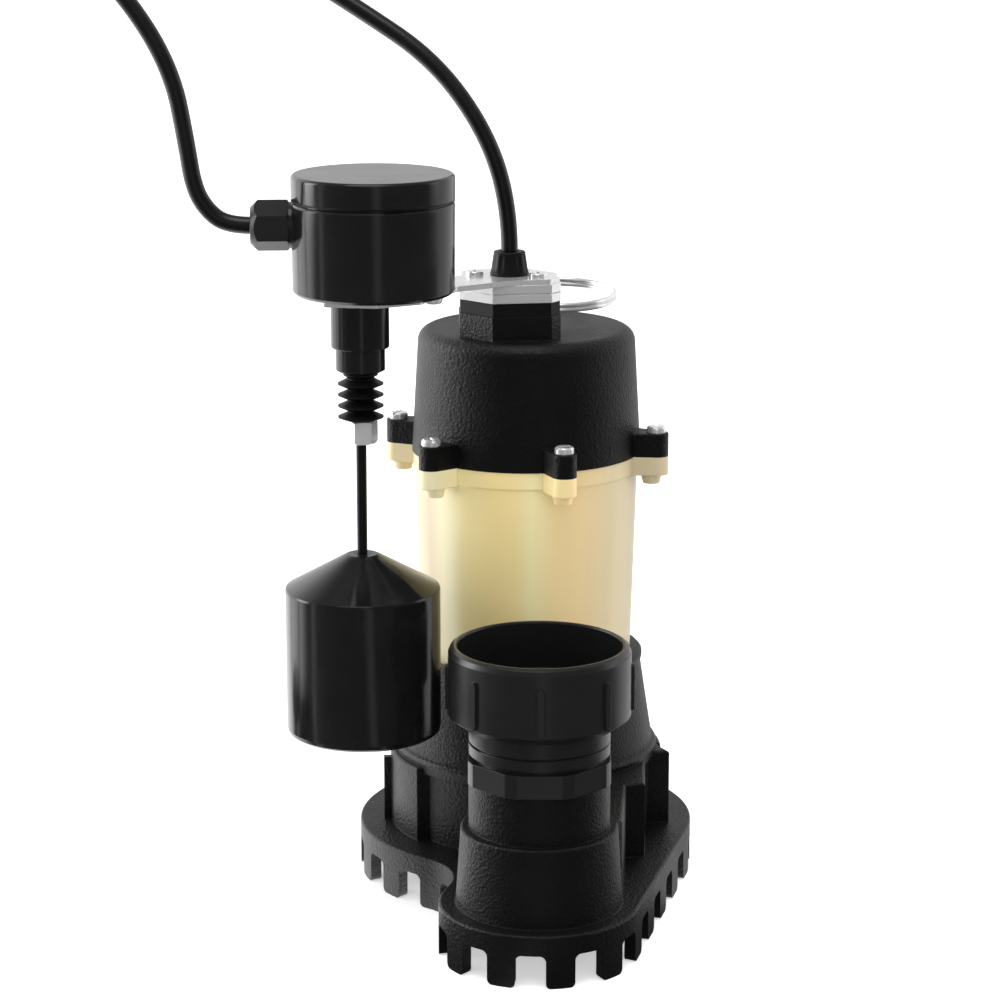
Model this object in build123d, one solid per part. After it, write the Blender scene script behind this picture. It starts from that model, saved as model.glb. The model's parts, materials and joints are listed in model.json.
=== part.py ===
"""Submersible sump pump with a vertical float switch, one STEP file per sub-part.

Units are millimetres.  The motor axis is the Z axis and z = 0 is the plane the
feet stand on.  The discharge points up in front (-Y) and the float switch
hangs beside it on the left (-X).
"""

import math
import os

from build123d import *

# ---- general clearances ----------------------------------------------------
GAP = 0.3             # between curved faces of different moving bodies
RUN = 0.05            # radial running clearance of shafts, rods and pins
SEAT = 0.4            # air left between a stopped part and its stop

# ---- base casting ----------------------------------------------------------
BASE_R = 82.2         # skirt circle about the motor axis
LOBE_R = 46.5         # skirt circle about the discharge axis
OUTLET_Y = -120.9     # discharge axis, in front of the motor axis
NOTCH_R = 30.0        # hollow corner between the two circles, left side
FLANGE_TOP = 25.0
FLANGE_T = 5.0
SKIRT_T = 5.5
SLOT_W = 14.0
SLOT_H = 15.7
TOOTH_PITCH = 27.4
FIRST_SLOT_DEG = -8.0  # first slot on the lobe, measured from the front
VOLUTE_TOP = 62.0
DRUM_R = 67.0
DRUM_IN_R = 62.0
BOSS_R0 = 38.7
BOSS_R1 = 36.2
NECK_R = 32.5
NECK_TOP = 85.0
RIM_R = 64.8
CONE_R0 = 62.5
CONE_R1 = 56.2
CONE_TOP = 112.0
CHAMBER_R = 57.0
CHAMBER_TOP = 56.0
SEAL_WALL_TOP = 64.0
OIL_R = 47.0
SEAT_BOLT_R = 40.5
BRACKET_Z = 84.0
SOCKET_R = 51.3
OUTLET_BORE_R = 24.0
STUB_R = 29.8

# ---- suction cover ---------------------------------------------------------
COVER_R = 66.0
COVER_T = 4.5
GASKET_T = 1.0
EYE_R = 21.0
COVER_BOLT_R = 61.5
COVER_SCREW_R = 2.5

# ---- motor housing and cap -------------------------------------------------
HOUSING_R0 = 51.2
HOUSING_R1 = 53.6
HOUSING_Z1 = 193.0
HOUSING_BORE = 48.0
FLOOR_Z0 = 92.0
FLOOR_Z1 = 96.0
EAR_Z0 = 203.0
EAR_Z1 = 212.0
EAR_R = 5.9
EAR_BOLT_R = 64.4
EAR_COUNT = 6
EAR_FIRST_DEG = 13.0   # first ear, measured from the front towards +X
CAP_R0 = 55.4
CAP_R1 = 52.4
CAP_TOP = 272.0
CAP_WALL = 4.0
CAP_EAR_TOP = 223.4
CAP_SCREW_R = 2.6

# ---- cord entry on the cap -------------------------------------------------
ENTRY = (-9.2, -21.5)
ENTRY_HALF = ((-23.7, -4.3), (-8.7, -19.2), (19.1, -16.4), (23.7, -10.4))
ENTRY_TOP = 283.5
ENTRY_SEAL_T = 6.5
CLAMP_T = 8.4
PLATE_T = 2.5
ENTRY_BORE = 9.0
CORD_D = 8.0
RELIEF_R0 = 9.2
RELIEF_R1 = 7.5
RELIEF_H = 11.3
CLAMP_SCREWS = ((-16.5, -1.0), (13.0, -8.0))
CLAMP_SCREW_R = 2.0

# ---- float switch ----------------------------------------------------------
ROD = (-79.9, -74.6)
SWITCH = (-73.4, -74.9)
SWITCH_R = 37.2
SWITCH_Z0 = 302.1
SWITCH_TOP = 356.3
LID_H = 11.3
LID_GROOVE = 1.6
STEM_R0 = 13.35
STEM_R1 = 11.3
STEM_Z0 = 264.8
STEM_Z1 = 276.7
STEM_BORE = 7.0
BELLOWS_Z0 = 243.1
BELLOWS_R = 10.5
BELLOWS_NECK_R = 6.2
BELLOWS_FOLDS = 4
BELLOWS_VALLEY_R = 5.4
BELLOWS_SINK = 1.3      # lowest fold starts this far under the bellows' foot
ROD_R = 2.38
ROD_NUT_Z0 = 232.2
ROD_NUT_AF = 13.4
ROD_END = 93.9
ROD_LIFT = 5.0
FLOAT_R = 36.1
FLOAT_Z0 = 93.7
FLOAT_SHOULDER = 163.8
FLOAT_TOP = 179.4
FLOAT_TOP_R = 7.0
FLOAT_WALL = 2.5
FLOAT_TRAVEL = ROD_NUT_Z0 - FLOAT_TOP - SEAT
BLOCK_X = 21.0
GLAND_Z = 332.7
GLAND_Y = -72.6
GLAND_AF = 20.2
GLAND_END = -129.0

# ---- rotor -----------------------------------------------------------------
ROTOR_R = 27.0
AIR_GAP = 0.6
CORE_Z0 = 128.0
CORE_Z1 = 186.0
SHAFT_R = 10.0
LOW_BEARING = (7.5, 17.5, 81.0, 92.0)
TOP_BEARING = (6.0, 16.0, 205.0, 215.0)
SEAL_SHAFT_R = 6.0

# ---- discharge fitting -----------------------------------------------------
OCTAGON_AF = 65.0
OCTAGON_TOP = 96.0
COLLAR_TOP = 112.0
UNION_R = 41.65
UNION_BORE = 37.5
UNION_TOP = 148.0
UNION_LIP_T = 4.0
GRIP_RIBS = 8

# ---- lifting ring ----------------------------------------------------------
RING_R = 28.9
RING_WIRE_R = 1.2
RING_EYE = (-13.1, 31.4, 282.1)
RING_DIR = (0.0438, 0.9976, 0.0523)
RING_EYE_R = 4.2

# ---- cords -----------------------------------------------------------------
COIL_X = -348.0
COIL_Y = {"pump": 26.5, "switch": -88.5}
COIL_R = 48.0
COIL_W = 16.0
COIL_H = 24.0
COIL_Z0 = 1.2
COIL_LAYER_Z = COIL_Z0 + COIL_H / 2
TIE_W = 11.0
TIE_DEG = -135.0
PLUG_W = 27.0
PLUG_H = 24.0
PLUG_L = 40.0

PUMP_ROUTE = [
    (-9.2, -21.5, 312.2),
    (-9.3, -21.5, 333.6),
    (-19.9, -18.6, 367.8),
    (-43.9, -10.2, 400.7),
    (-78.8, 0.5, 423.6),
    (-121.0, 14.0, 449.0),
    (-176.1, 34.0, 462.0),
    (-235.5, 56.0, 455.0),
    (-277.5, 73.0, 424.5),
    (-294.9, 82.5, 380.0),
    (-298.5, 88.5, 324.0),
    (-295.5, 91.5, 267.0),
    (-298.0, 92.0, 210.0),
    (-295.5, 93.6, 153.0),
    (-297.2, 92.4, 98.0),
    (-296.0, 94.0, 52.0),
    (-296.4, 82.0, 28.5),
    (-296.0, 56.0, 14.6),
    (-296.0, 27.5, COIL_LAYER_Z),
]
SWITCH_ROUTE = [
    (GLAND_END, -72.6, 332.7),
    (-138.9, -72.4, 332.9),
    (-147.6, -72.0, 338.6),
    (-154.1, -71.6, 349.4),
    (-157.2, -70.4, 371.0),
    (-162.6, -68.0, 400.6),
    (-178.8, -64.0, 429.6),
    (-207.2, -58.0, 461.0),
    (-253.5, -48.0, 474.0),
    (-288.9, -36.0, 449.0),
    (-296.5, -28.0, 402.0),
    (-299.0, -23.0, 347.0),
    (-296.0, -21.5, 290.0),
    (-298.6, -22.6, 233.0),
    (-296.2, -20.6, 176.0),
    (-298.0, -22.0, 119.0),
    (-296.4, -20.8, 84.0),
    (-296.2, -21.8, 52.0),
    (-296.4, -33.5, 28.5),
    (-296.0, -59.0, 14.6),
    (-296.0, -87.5, COIL_LAYER_Z),
]
TAIL_ROUTE = [
    (-51.5, -10.0, 22.0),
    (-51.5, 11.5, 24.4),
    (-40.7, 30.1, 29.4),
    (-22.1, 40.9, 34.4),
    (-0.6, 40.9, COIL_Z0 + COIL_H + PLUG_H / 2),
]

# ---- values that follow ----------------------------------------------------
ENTRY_SEAL_TOP = ENTRY_TOP + ENTRY_SEAL_T
CLAMP_TOP = ENTRY_SEAL_TOP + CLAMP_T
PLATE_TOP = CLAMP_TOP + PLATE_T
PLATE_Z0 = CLAMP_TOP
CLAMP_SEAM = ENTRY_SEAL_TOP + 4.3
COVER_TOP = FLANGE_TOP - FLANGE_T - GASKET_T
COVER_Z0 = COVER_TOP - COVER_T
STATOR_R = ROTOR_R + AIR_GAP
LID_Z0 = SWITCH_TOP - LID_H
UNION_SEAT_TOP = COLLAR_TOP + UNION_LIP_T + 9.6


# ---- small helpers ---------------------------------------------------------
def rod(radius, z0, z1, at=(0, 0)):
    """Upright solid cylinder."""
    body = Cylinder(radius, z1 - z0, align=(Align.CENTER, Align.CENTER, Align.MIN))
    return Pos(at[0], at[1], z0) * body


def tube(r_out, r_in, z0, z1, at=(0, 0)):
    """Upright cylinder with a through bore."""
    return rod(r_out, z0, z1, at) - rod(r_in, z0 - 1, z1 + 1, at)


def taper(r0, r1, z0, z1, at=(0, 0)):
    """Upright cone frustum."""
    body = Cone(r0, r1, z1 - z0, align=(Align.CENTER, Align.CENTER, Align.MIN))
    return Pos(at[0], at[1], z0) * body


def spun(points, at=(0, 0)):
    """Solid of revolution of an (r, z) outline about an upright axis."""
    outline = Polyline([(r, 0, z) for r, z in points], close=True)
    return Pos(at[0], at[1], 0) * revolve(make_face(outline), axis=Axis.Z)


def prism(points, z0, z1):
    """Upright prism of an (x, y) polygon."""
    face = make_face(Polyline([(x, y) for x, y in points], close=True))
    return Pos(0, 0, z0) * extrude(face, z1 - z0)


def from_front(radius, deg):
    """Point on a circle about the motor axis, angle from -Y towards +X."""
    turn = math.radians(deg)
    return (radius * math.sin(turn), -radius * math.cos(turn))


def hexagon(across_flats, z0, z1, at=(0, 0), turn=0):
    """Upright hexagonal prism."""
    face = RegularPolygon(across_flats / 2, 6, major_radius=False)
    return Pos(at[0], at[1], z0) * Rot(0, 0, turn) * extrude(face, z1 - z0)


def edges_at(shape, z, tol=0.05):
    """Edges lying wholly in the plane at height z."""
    found = []
    for edge in shape.edges():
        box = edge.bounding_box()
        if abs(box.min.Z - z) < tol and abs(box.max.Z - z) < tol:
            found.append(edge)
    return found


def softened(shape, z, radius):
    """Shape with the edges at height z rounded."""
    return fillet(edges_at(shape, z), radius)


def cord_tube(points, radius):
    """Round tube along straight runs joined by tangent arcs."""
    corners = [Vector(*p) for p in points]
    radii = []
    for before, here, after in zip(corners, corners[1:], corners[2:]):
        first = here - before
        second = after - here
        half_turn = math.radians(first.get_angle(second)) / 2
        shorter = min(first.length, second.length)
        radii.append(0.45 * shorter / math.tan(half_turn))
    path = FilletPolyline(corners, radius=radii)
    start = Plane(origin=path @ 0, z_dir=path % 0)
    body = sweep(start * Circle(radius), path=path)
    area = math.pi * radius**2
    print("cord radii", [round(r) for r in radii])
    print("cord run", round(path.length, 1), "volume share", round(body.volume / (area * path.length), 4))
    return body


# ---- base casting ----------------------------------------------------------
def notch_centre():
    """Centre of the hollow arc that joins the two skirt circles."""
    big = BASE_R + NOTCH_R
    small = LOBE_R + NOTCH_R
    depth = (big**2 - small**2 + OUTLET_Y**2) / (2 * abs(OUTLET_Y))
    return (-math.sqrt(big**2 - depth**2), -depth)


def tangent_normal():
    """Unit normal of the straight side that touches both skirt circles."""
    lean = (BASE_R - LOBE_R) / abs(OUTLET_Y)
    return (math.sqrt(1 - lean**2), -lean)


def skirt_face(inset):
    """Plan of the skirt, drawn in by the inset."""
    nx, ny = tangent_normal()
    big = BASE_R - inset
    small = LOBE_R - inset
    side = [(0, 0), (big * nx, big * ny), (small * nx, OUTLET_Y + small * ny), (0, OUTLET_Y)]
    cx, cy = notch_centre()
    corner = make_face(Polyline([(0, 0), (0, OUTLET_Y), (cx, cy)], close=True))
    corner -= Pos(cx, cy) * Circle(NOTCH_R + inset)
    face = Circle(big) + Pos(0, OUTLET_Y) * Circle(small)
    face += make_face(Polyline(side, close=True))
    return face + corner


def skirt_stations():
    """Centre and outward direction of every slot, evenly spaced along the skirt."""
    nx, ny = tangent_normal()
    side_deg = math.degrees(math.atan2(nx, -ny))
    straight = math.sqrt(OUTLET_Y**2 - (BASE_R - LOBE_R) ** 2)
    cx, cy = notch_centre()
    back_deg = math.degrees(math.atan2(cx, -cy)) + 360
    lobe_deg = math.degrees(math.atan2(cx, -(cy - OUTLET_Y))) + 360
    lengths = [
        math.radians(side_deg - FIRST_SLOT_DEG) * LOBE_R,
        straight,
        math.radians(back_deg - side_deg) * BASE_R,
        math.radians(notch_sweep()) * NOTCH_R,
        math.radians(FIRST_SLOT_DEG + 360 - lobe_deg) * LOBE_R,
    ]
    count = round(sum(lengths) / TOOTH_PITCH)
    pitch = sum(lengths) / count
    stations = []
    for index in range(count):
        along = index * pitch
        leg = 0
        while along > lengths[leg]:
            along -= lengths[leg]
            leg += 1
        if leg == 0:
            deg = FIRST_SLOT_DEG + math.degrees(along / LOBE_R)
            x, y = from_front(LOBE_R, deg)
            stations.append(((x, y + OUTLET_Y), from_front(1, deg)))
        elif leg == 1:
            start = (LOBE_R * nx, OUTLET_Y + LOBE_R * ny)
            stations.append(((start[0] - ny * along, start[1] + nx * along), (nx, ny)))
        elif leg == 2:
            deg = side_deg + math.degrees(along / BASE_R)
            stations.append((from_front(BASE_R, deg), from_front(1, deg)))
        elif leg == 3:
            deg = back_deg + 180 - math.degrees(along / NOTCH_R)
            x, y = from_front(NOTCH_R, deg)
            dx, dy = from_front(-1, deg)
            stations.append(((cx + x, cy + y), (dx, dy)))
        else:
            deg = lobe_deg + math.degrees(along / LOBE_R)
            x, y = from_front(LOBE_R, deg)
            stations.append(((x, y + OUTLET_Y), from_front(1, deg)))
    return stations


def notch_sweep():
    """Angle the hollow corner turns through, degrees."""
    cx, cy = notch_centre()
    to_motor = math.atan2(-cy, -cx)
    to_outlet = math.atan2(OUTLET_Y - cy, -cx)
    return math.degrees(to_motor - to_outlet)


def slot_cutter():
    """One intake slot, mouth down, with rounded top and flared foot corners."""
    half = SLOT_W / 2
    foot = 2.5
    slot = Pos(0, SLOT_H / 2 - 1) * Rectangle(SLOT_W, SLOT_H + 2)
    slot = fillet(slot.vertices().group_by(Axis.Y)[-1], 3)
    flare = Pos(0, foot / 2) * Rectangle(SLOT_W + 2 * foot, foot)
    flare -= Pos(half + foot, foot) * Circle(foot)
    flare -= Pos(-half - foot, foot) * Circle(foot)
    profile = Plane.XZ * (slot + flare)
    return extrude(profile, SKIRT_T + 3, both=True)


def volute_plan():
    """Outer plan of the volute: drum, stepped right wall and outlet boss."""
    steps = [
        (0, 60), (60, 20), (66.2, -8), (70.1, -16.8), (58.0, -18.5), (53.7, -65.3),
        (44.5, -67.5), (38.6, -117.5), (36.0, OUTLET_Y), (-20.0, OUTLET_Y),
        (-27.0, -72), (-30.0, 0),
    ]
    plan = Circle(DRUM_IN_R) + make_face(Polyline(steps, close=True))
    back = Circle(DRUM_R) & make_face(
        Polyline([(-54.7, -38.6), (-90, -38.6), (-90, 90), (90, 90), (90, -5), (0, -5), (-20, -38.6)], close=True)
    )
    return plan + back


def build_base():
    """Cast volute base with skirt, chamber, outlet neck and motor seat."""
    body = extrude(skirt_face(0), FLANGE_TOP)
    body -= extrude(skirt_face(SKIRT_T), FLANGE_TOP - FLANGE_T)
    body = softened(body, FLANGE_TOP, 1.2)
    cutter = slot_cutter()
    for (x, y), (nx, ny) in skirt_stations():
        turn = math.degrees(math.atan2(nx, -ny))
        body -= Pos(x, y, 0) * Rot(0, 0, turn) * cutter
    volute = Pos(0, 0, FLANGE_TOP - 1) * extrude(volute_plan(), VOLUTE_TOP - FLANGE_TOP + 1)
    volute = softened(volute, VOLUTE_TOP, 1.6)
    fin = Pos(-DRUM_R, -4, FLANGE_TOP) * Box(7, 4, 32, align=(Align.CENTER, Align.CENTER, Align.MIN))
    boss = taper(BOSS_R0, BOSS_R1, FLANGE_TOP - 1, VOLUTE_TOP, (0, OUTLET_Y))
    boss = softened(boss, VOLUTE_TOP, 1.2)
    neck = rod(NECK_R, VOLUTE_TOP - 2, NECK_TOP, (0, OUTLET_Y))
    body += volute + fin + boss + neck
    body += spun([
        (0, VOLUTE_TOP - 3), (RIM_R - 1, VOLUTE_TOP - 3), (RIM_R, VOLUTE_TOP + 2.4),
        (RIM_R - 0.9, VOLUTE_TOP + 4), (CONE_R0, VOLUTE_TOP + 4.8), (CONE_R1, CONE_TOP - 4.4),
        (CONE_R1 + 0.9, CONE_TOP - 3.4), (CONE_R1 + 0.9, CONE_TOP - 1.2), (CONE_R1 - 0.3, CONE_TOP),
        (0, CONE_TOP),
    ])
    # wet side
    body -= rod(CHAMBER_R, -1, CHAMBER_TOP)
    duct = [(6, -20), (49, -20), (44, -60), (30, -112), (20, OUTLET_Y), (-16, OUTLET_Y), (-14, -60)]
    body -= prism(duct, FLANGE_TOP + 2, CHAMBER_TOP)
    body -= rod(OUTLET_BORE_R, FLANGE_TOP + 2, NECK_TOP + 1, (0, OUTLET_Y))
    body -= rod(STUB_R, NECK_TOP - 16, NECK_TOP + 1, (0, OUTLET_Y))
    # dry side
    body -= rod(OIL_R, SEAL_WALL_TOP, BRACKET_Z)
    for spot in seat_spots():
        body += rod(OIL_R - SEAT_BOLT_R + 1.0, SEAL_WALL_TOP - 1, BRACKET_Z, spot)
    body -= rod(SOCKET_R, BRACKET_Z, CONE_TOP + 1)
    body -= rod(14.0, CHAMBER_TOP - 1, SEAL_WALL_TOP + 1)
    for spot in seat_spots():
        body -= rod(2.5, SEAL_WALL_TOP + 2, BRACKET_Z + 1, spot)
    for spot in cover_spots():
        body -= rod(COVER_SCREW_R, FLANGE_TOP - FLANGE_T - 1, FLANGE_TOP - 0.8, spot)
    return body


def seat_spots():
    """Four screw positions that hold housing and bearing bracket to the base."""
    return [from_front(SEAT_BOLT_R, 45 + 90 * k) for k in range(4)]


def cover_spots():
    """Four screw positions of the suction cover."""
    return [from_front(COVER_BOLT_R, 40 + 90 * k) for k in range(4)]


def build_cover():
    """Suction cover plate with its eye."""
    body = rod(COVER_R, COVER_Z0, COVER_TOP)
    body += rod(EYE_R + 4, COVER_Z0, COVER_TOP + 4)
    body -= rod(EYE_R, COVER_Z0 - 1, COVER_TOP + 5)
    body = softened(body, COVER_TOP + 4, 1.0)
    for spot in cover_spots():
        body -= rod(COVER_SCREW_R, COVER_Z0 - 1, COVER_TOP + 1, spot)
        body -= taper(2 * COVER_SCREW_R, COVER_SCREW_R, COVER_Z0, COVER_Z0 + COVER_SCREW_R, spot)
    return body


def build_cover_gasket():
    """Flat gasket between cover and base."""
    body = tube(COVER_R - 0.5, CHAMBER_R, COVER_TOP, COVER_TOP + GASKET_T)
    for spot in cover_spots():
        body -= rod(COVER_SCREW_R, COVER_TOP - 1, COVER_TOP + 2, spot)
    return body


def build_cover_screws():
    """Countersunk screws of the suction cover."""
    screws = []
    for spot in cover_spots():
        screw = rod(COVER_SCREW_R, COVER_Z0, FLANGE_TOP - 0.8, spot)
        screw += taper(2 * COVER_SCREW_R, COVER_SCREW_R, COVER_Z0, COVER_Z0 + COVER_SCREW_R, spot)
        screw -= hexagon(3, COVER_Z0 - 1, COVER_Z0 + 1.6, spot)
        screws.append(screw)
    return Compound(children=screws)


# ---- motor -----------------------------------------------------------------
def build_bearing_bracket():
    """Disc that carries the lower bearing over the oil chamber."""
    r_in, r_out, z0, z1 = LOW_BEARING
    body = rod(SOCKET_R - 0.3, BRACKET_Z, FLOOR_Z0)
    body += rod(r_out + 5, z0 - 4, FLOOR_Z0)
    body -= rod(r_out, z0, FLOOR_Z0 + 1)
    body -= rod(r_out - 4, z0 - 5, z0 + 1)
    for spot in seat_spots():
        body -= rod(2.5, BRACKET_Z - 1, FLOOR_Z0 + 1, spot)
    return body


def build_bearing(spec):
    """Ball bearing: two grooved races, shields and balls as one part each."""
    r_in, r_out, z0, z1 = spec
    mid = (z0 + z1) / 2
    pitch = (r_in + r_out) / 2
    ball = (r_out - r_in) * 0.28
    inner = tube(pitch - ball * 0.55, r_in, z0, z1)
    outer = tube(r_out, pitch + ball * 0.55, z0, z1)
    groove = Pos(0, 0, mid) * Torus(pitch, ball)
    solids = [inner - groove, outer - groove]
    for k in range(8):
        x, y = from_front(pitch, 45 * k)
        solids.append(Pos(x, y, mid) * Sphere(ball - 0.02))
    return Compound(children=solids)


def housing_ears(z0, z1, radius):
    """Row of rounded ears joined to the shell."""
    ears = None
    for k in range(EAR_COUNT):
        deg = EAR_FIRST_DEG + 360 / EAR_COUNT * k
        x, y = from_front(EAR_BOLT_R, deg)
        ear = rod(radius, z0, z1, (x, y))
        flank = radius + 2.2
        web = Pos(0, 0, z0) * extrude(
            make_face(Polyline([(-flank, -50), (-radius, -EAR_BOLT_R), (radius, -EAR_BOLT_R), (flank, -50)], close=True)),
            z1 - z0,
        )
        ear += Rot(0, 0, deg) * web
        ears = ear if ears is None else ears + ear
    return ears


def ear_spots():
    """Screw positions of the ears."""
    return [from_front(EAR_BOLT_R, EAR_FIRST_DEG + 360 / EAR_COUNT * k) for k in range(EAR_COUNT)]


def build_housing():
    """Tapered motor shell with spigot, floor and eared top flange."""
    body = spun([
        (0, FLOOR_Z0), (SOCKET_R - 0.3, FLOOR_Z0), (SOCKET_R - 0.3, CONE_TOP - 0.4),
        (HOUSING_R0, CONE_TOP + 1.5), (HOUSING_R1, HOUSING_Z1), (HOUSING_R1 + 0.2, EAR_Z0),
        (HOUSING_R1 + 1.2, EAR_Z0 + 1), (HOUSING_R1 + 1.2, EAR_Z1), (0, EAR_Z1),
    ])
    body += housing_ears(EAR_Z0, EAR_Z1, EAR_R)
    for x, y in ear_spots():
        body += taper(EAR_R - 1.8, EAR_R - 0.5, EAR_Z0 - 4.5, EAR_Z0 + 1, (x * 0.965, y * 0.965))
    body -= rod(HOUSING_BORE, FLOOR_Z1, EAR_Z1 + 1)
    body -= rod(HOUSING_BORE + 2.2, TOP_BEARING[2] - 1, EAR_Z1 + 1)
    body -= rod(LOW_BEARING[1] - 4, FLOOR_Z0 - 1, FLOOR_Z1 + 1)
    for spot in seat_spots():
        body -= rod(2.5, FLOOR_Z0 - 1, FLOOR_Z1 + 1, spot)
    for spot in ear_spots():
        body -= rod(CAP_SCREW_R, EAR_Z0 - 1, EAR_Z1 + 1, spot)
    return body


def build_seat_screws():
    """Hex screws that hold the housing floor and bracket down to the base."""
    screws = []
    for spot in seat_spots():
        screw = rod(2.5, SEAL_WALL_TOP + 5, FLOOR_Z1, spot)
        screw += hexagon(8, FLOOR_Z1, FLOOR_Z1 + 4, spot, 15)
        screws.append(screw)
    return Compound(children=screws)


def build_stator_core():
    """Laminated stack with winding slots."""
    body = tube(HOUSING_BORE, STATOR_R, CORE_Z0, CORE_Z1)
    slots = None
    for k in range(18):
        x, y = from_front(33, 20 * k)
        slot = Pos(x, y, CORE_Z0 - 1) * Rot(0, 0, 20 * k) * extrude(
            Rectangle(3.2, 8), CORE_Z1 - CORE_Z0 + 2
        )
        slots = slot if slots is None else slots + slot
    return body - slots


def build_stator_windings():
    """Copper end turns joined by bars through the slots."""
    bars = None
    for k in range(18):
        x, y = from_front(33, 20 * k)
        bar = Pos(x, y, CORE_Z0 - 1) * Rot(0, 0, 20 * k) * extrude(
            Rectangle(3.0, 7.8), CORE_Z1 - CORE_Z0 + 2
        )
        bars = bar if bars is None else bars + bar
    low = fillet(tube(43, 29.2, CORE_Z0 - 15, CORE_Z0).edges(), 3)
    high = fillet(tube(43, 29.2, CORE_Z1, CORE_Z1 + 12).edges(), 3)
    return low + high + bars


def build_top_bracket():
    """Disc that carries the upper bearing inside the housing flange."""
    r_in, r_out, z0, z1 = TOP_BEARING
    body = rod(HOUSING_BORE + 2.0, z0 - 1, z0 + 4)
    body += rod(r_out + 4, z0 - 1, z1 + 2)
    body -= rod(r_out, z0, z1 + 3)
    body -= rod(r_out - 4, z0 - 2, z0 + 1)
    for k in range(4):
        body -= rod(6, z0 - 2, z0 + 5, from_front(34, 90 * k))
    return body


def build_shaft():
    """Stepped motor shaft down to the impeller thread."""
    return spun([
        (0, 19.5), (3.4, 19.5), (4.0, 20.2), (4.0, 28.0), (SEAL_SHAFT_R, 28.0), (SEAL_SHAFT_R, 70.0),
        (LOW_BEARING[0] - RUN, 71.5), (LOW_BEARING[0] - RUN, 95.0), (SHAFT_R, 97.0), (SHAFT_R, 194.0),
        (8.0, 196.0), (8.0, 203.5), (TOP_BEARING[0] - RUN, 204.0), (TOP_BEARING[0] - RUN, 215.4),
        (5.2, 216.2), (0, 216.2),
    ])


def build_rotor_core():
    """Laminated rotor stack on the shaft."""
    return tube(ROTOR_R, SHAFT_R, CORE_Z0, CORE_Z1)


def build_rotor_rings():
    """Cast end rings with cooling blades."""
    rings = []
    for z0, z1, up in ((CORE_Z0 - 6, CORE_Z0, -1), (CORE_Z1, CORE_Z1 + 6, 1)):
        ring = tube(25.0, 15.0, z0, z1)
        for k in range(6):
            x, y = from_front(20, 60 * k)
            blade_z = z0 - 5 if up < 0 else z1 - 1
            ring += Pos(x, y, blade_z) * Rot(0, 0, 60 * k) * extrude(Rectangle(2, 8), 6)
        rings.append(ring)
    return Compound(children=rings)


def build_impeller():
    """Vortex impeller: backplate, hub and six swept vanes."""
    body = rod(50, 44, 47) + rod(11, 28, 47)
    for k in range(6):
        deg = 60 * k
        path = ThreePointArc(
            (*from_front(9, deg), 0), (*from_front(29, deg + 24), 0), (*from_front(49, deg + 62), 0)
        )
        wall = Plane(origin=path @ 0, z_dir=path % 0, x_dir=(0, 0, 1)) * Rectangle(15, 3)
        body += Pos(0, 0, 37.5) * sweep(wall, path=path)
    body = body & rod(50, 20, 60)
    return body - rod(SEAL_SHAFT_R, 27, 48)


def build_impeller_nut():
    """Acorn nut under the impeller."""
    body = hexagon(13, 21.5, 28)
    body &= taper(5.6, 9.2, 21.5, 28)
    return body - rod(4.0, 19, 29)


def build_seal_seat():
    """Fixed ring of the shaft seal in the chamber wall."""
    return tube(14.0, SEAL_SHAFT_R + GAP, CHAMBER_TOP, SEAL_WALL_TOP)


def build_seal_ring():
    """Turning ring and bellows of the shaft seal."""
    return spun([
        (SEAL_SHAFT_R, 47.0), (11.0, 47.0), (11.0, 49.5), (9.5, 50.3), (11.0, 51.2), (9.5, 52.0),
        (12.0, 53.0), (12.0, CHAMBER_TOP - GAP), (SEAL_SHAFT_R, CHAMBER_TOP - GAP),
    ])


# ---- cap -------------------------------------------------------------------
def entry_outline(inset=0.0):
    """Plan of the cord entry boss, clamp and gasket, the same from either end."""
    points = list(ENTRY_HALF) + [(-x, -y) for x, y in ENTRY_HALF]
    share = 1 - inset / 22.0
    return [(ENTRY[0] + x * share, ENTRY[1] + y * share) for x, y in points]


def clamp_spots():
    """Positions of the two clamp screws."""
    return [(ENTRY[0] + x, ENTRY[1] + y) for x, y in CLAMP_SCREWS]


def ring_frame():
    """Unit axis along the ring wire at the eye and the direction to its centre."""
    axis = Vector(*RING_DIR).normalized()
    across = Vector(1, -0.0438, 0)
    across = (across - axis * across.dot(axis)).normalized()
    return axis, across


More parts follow.
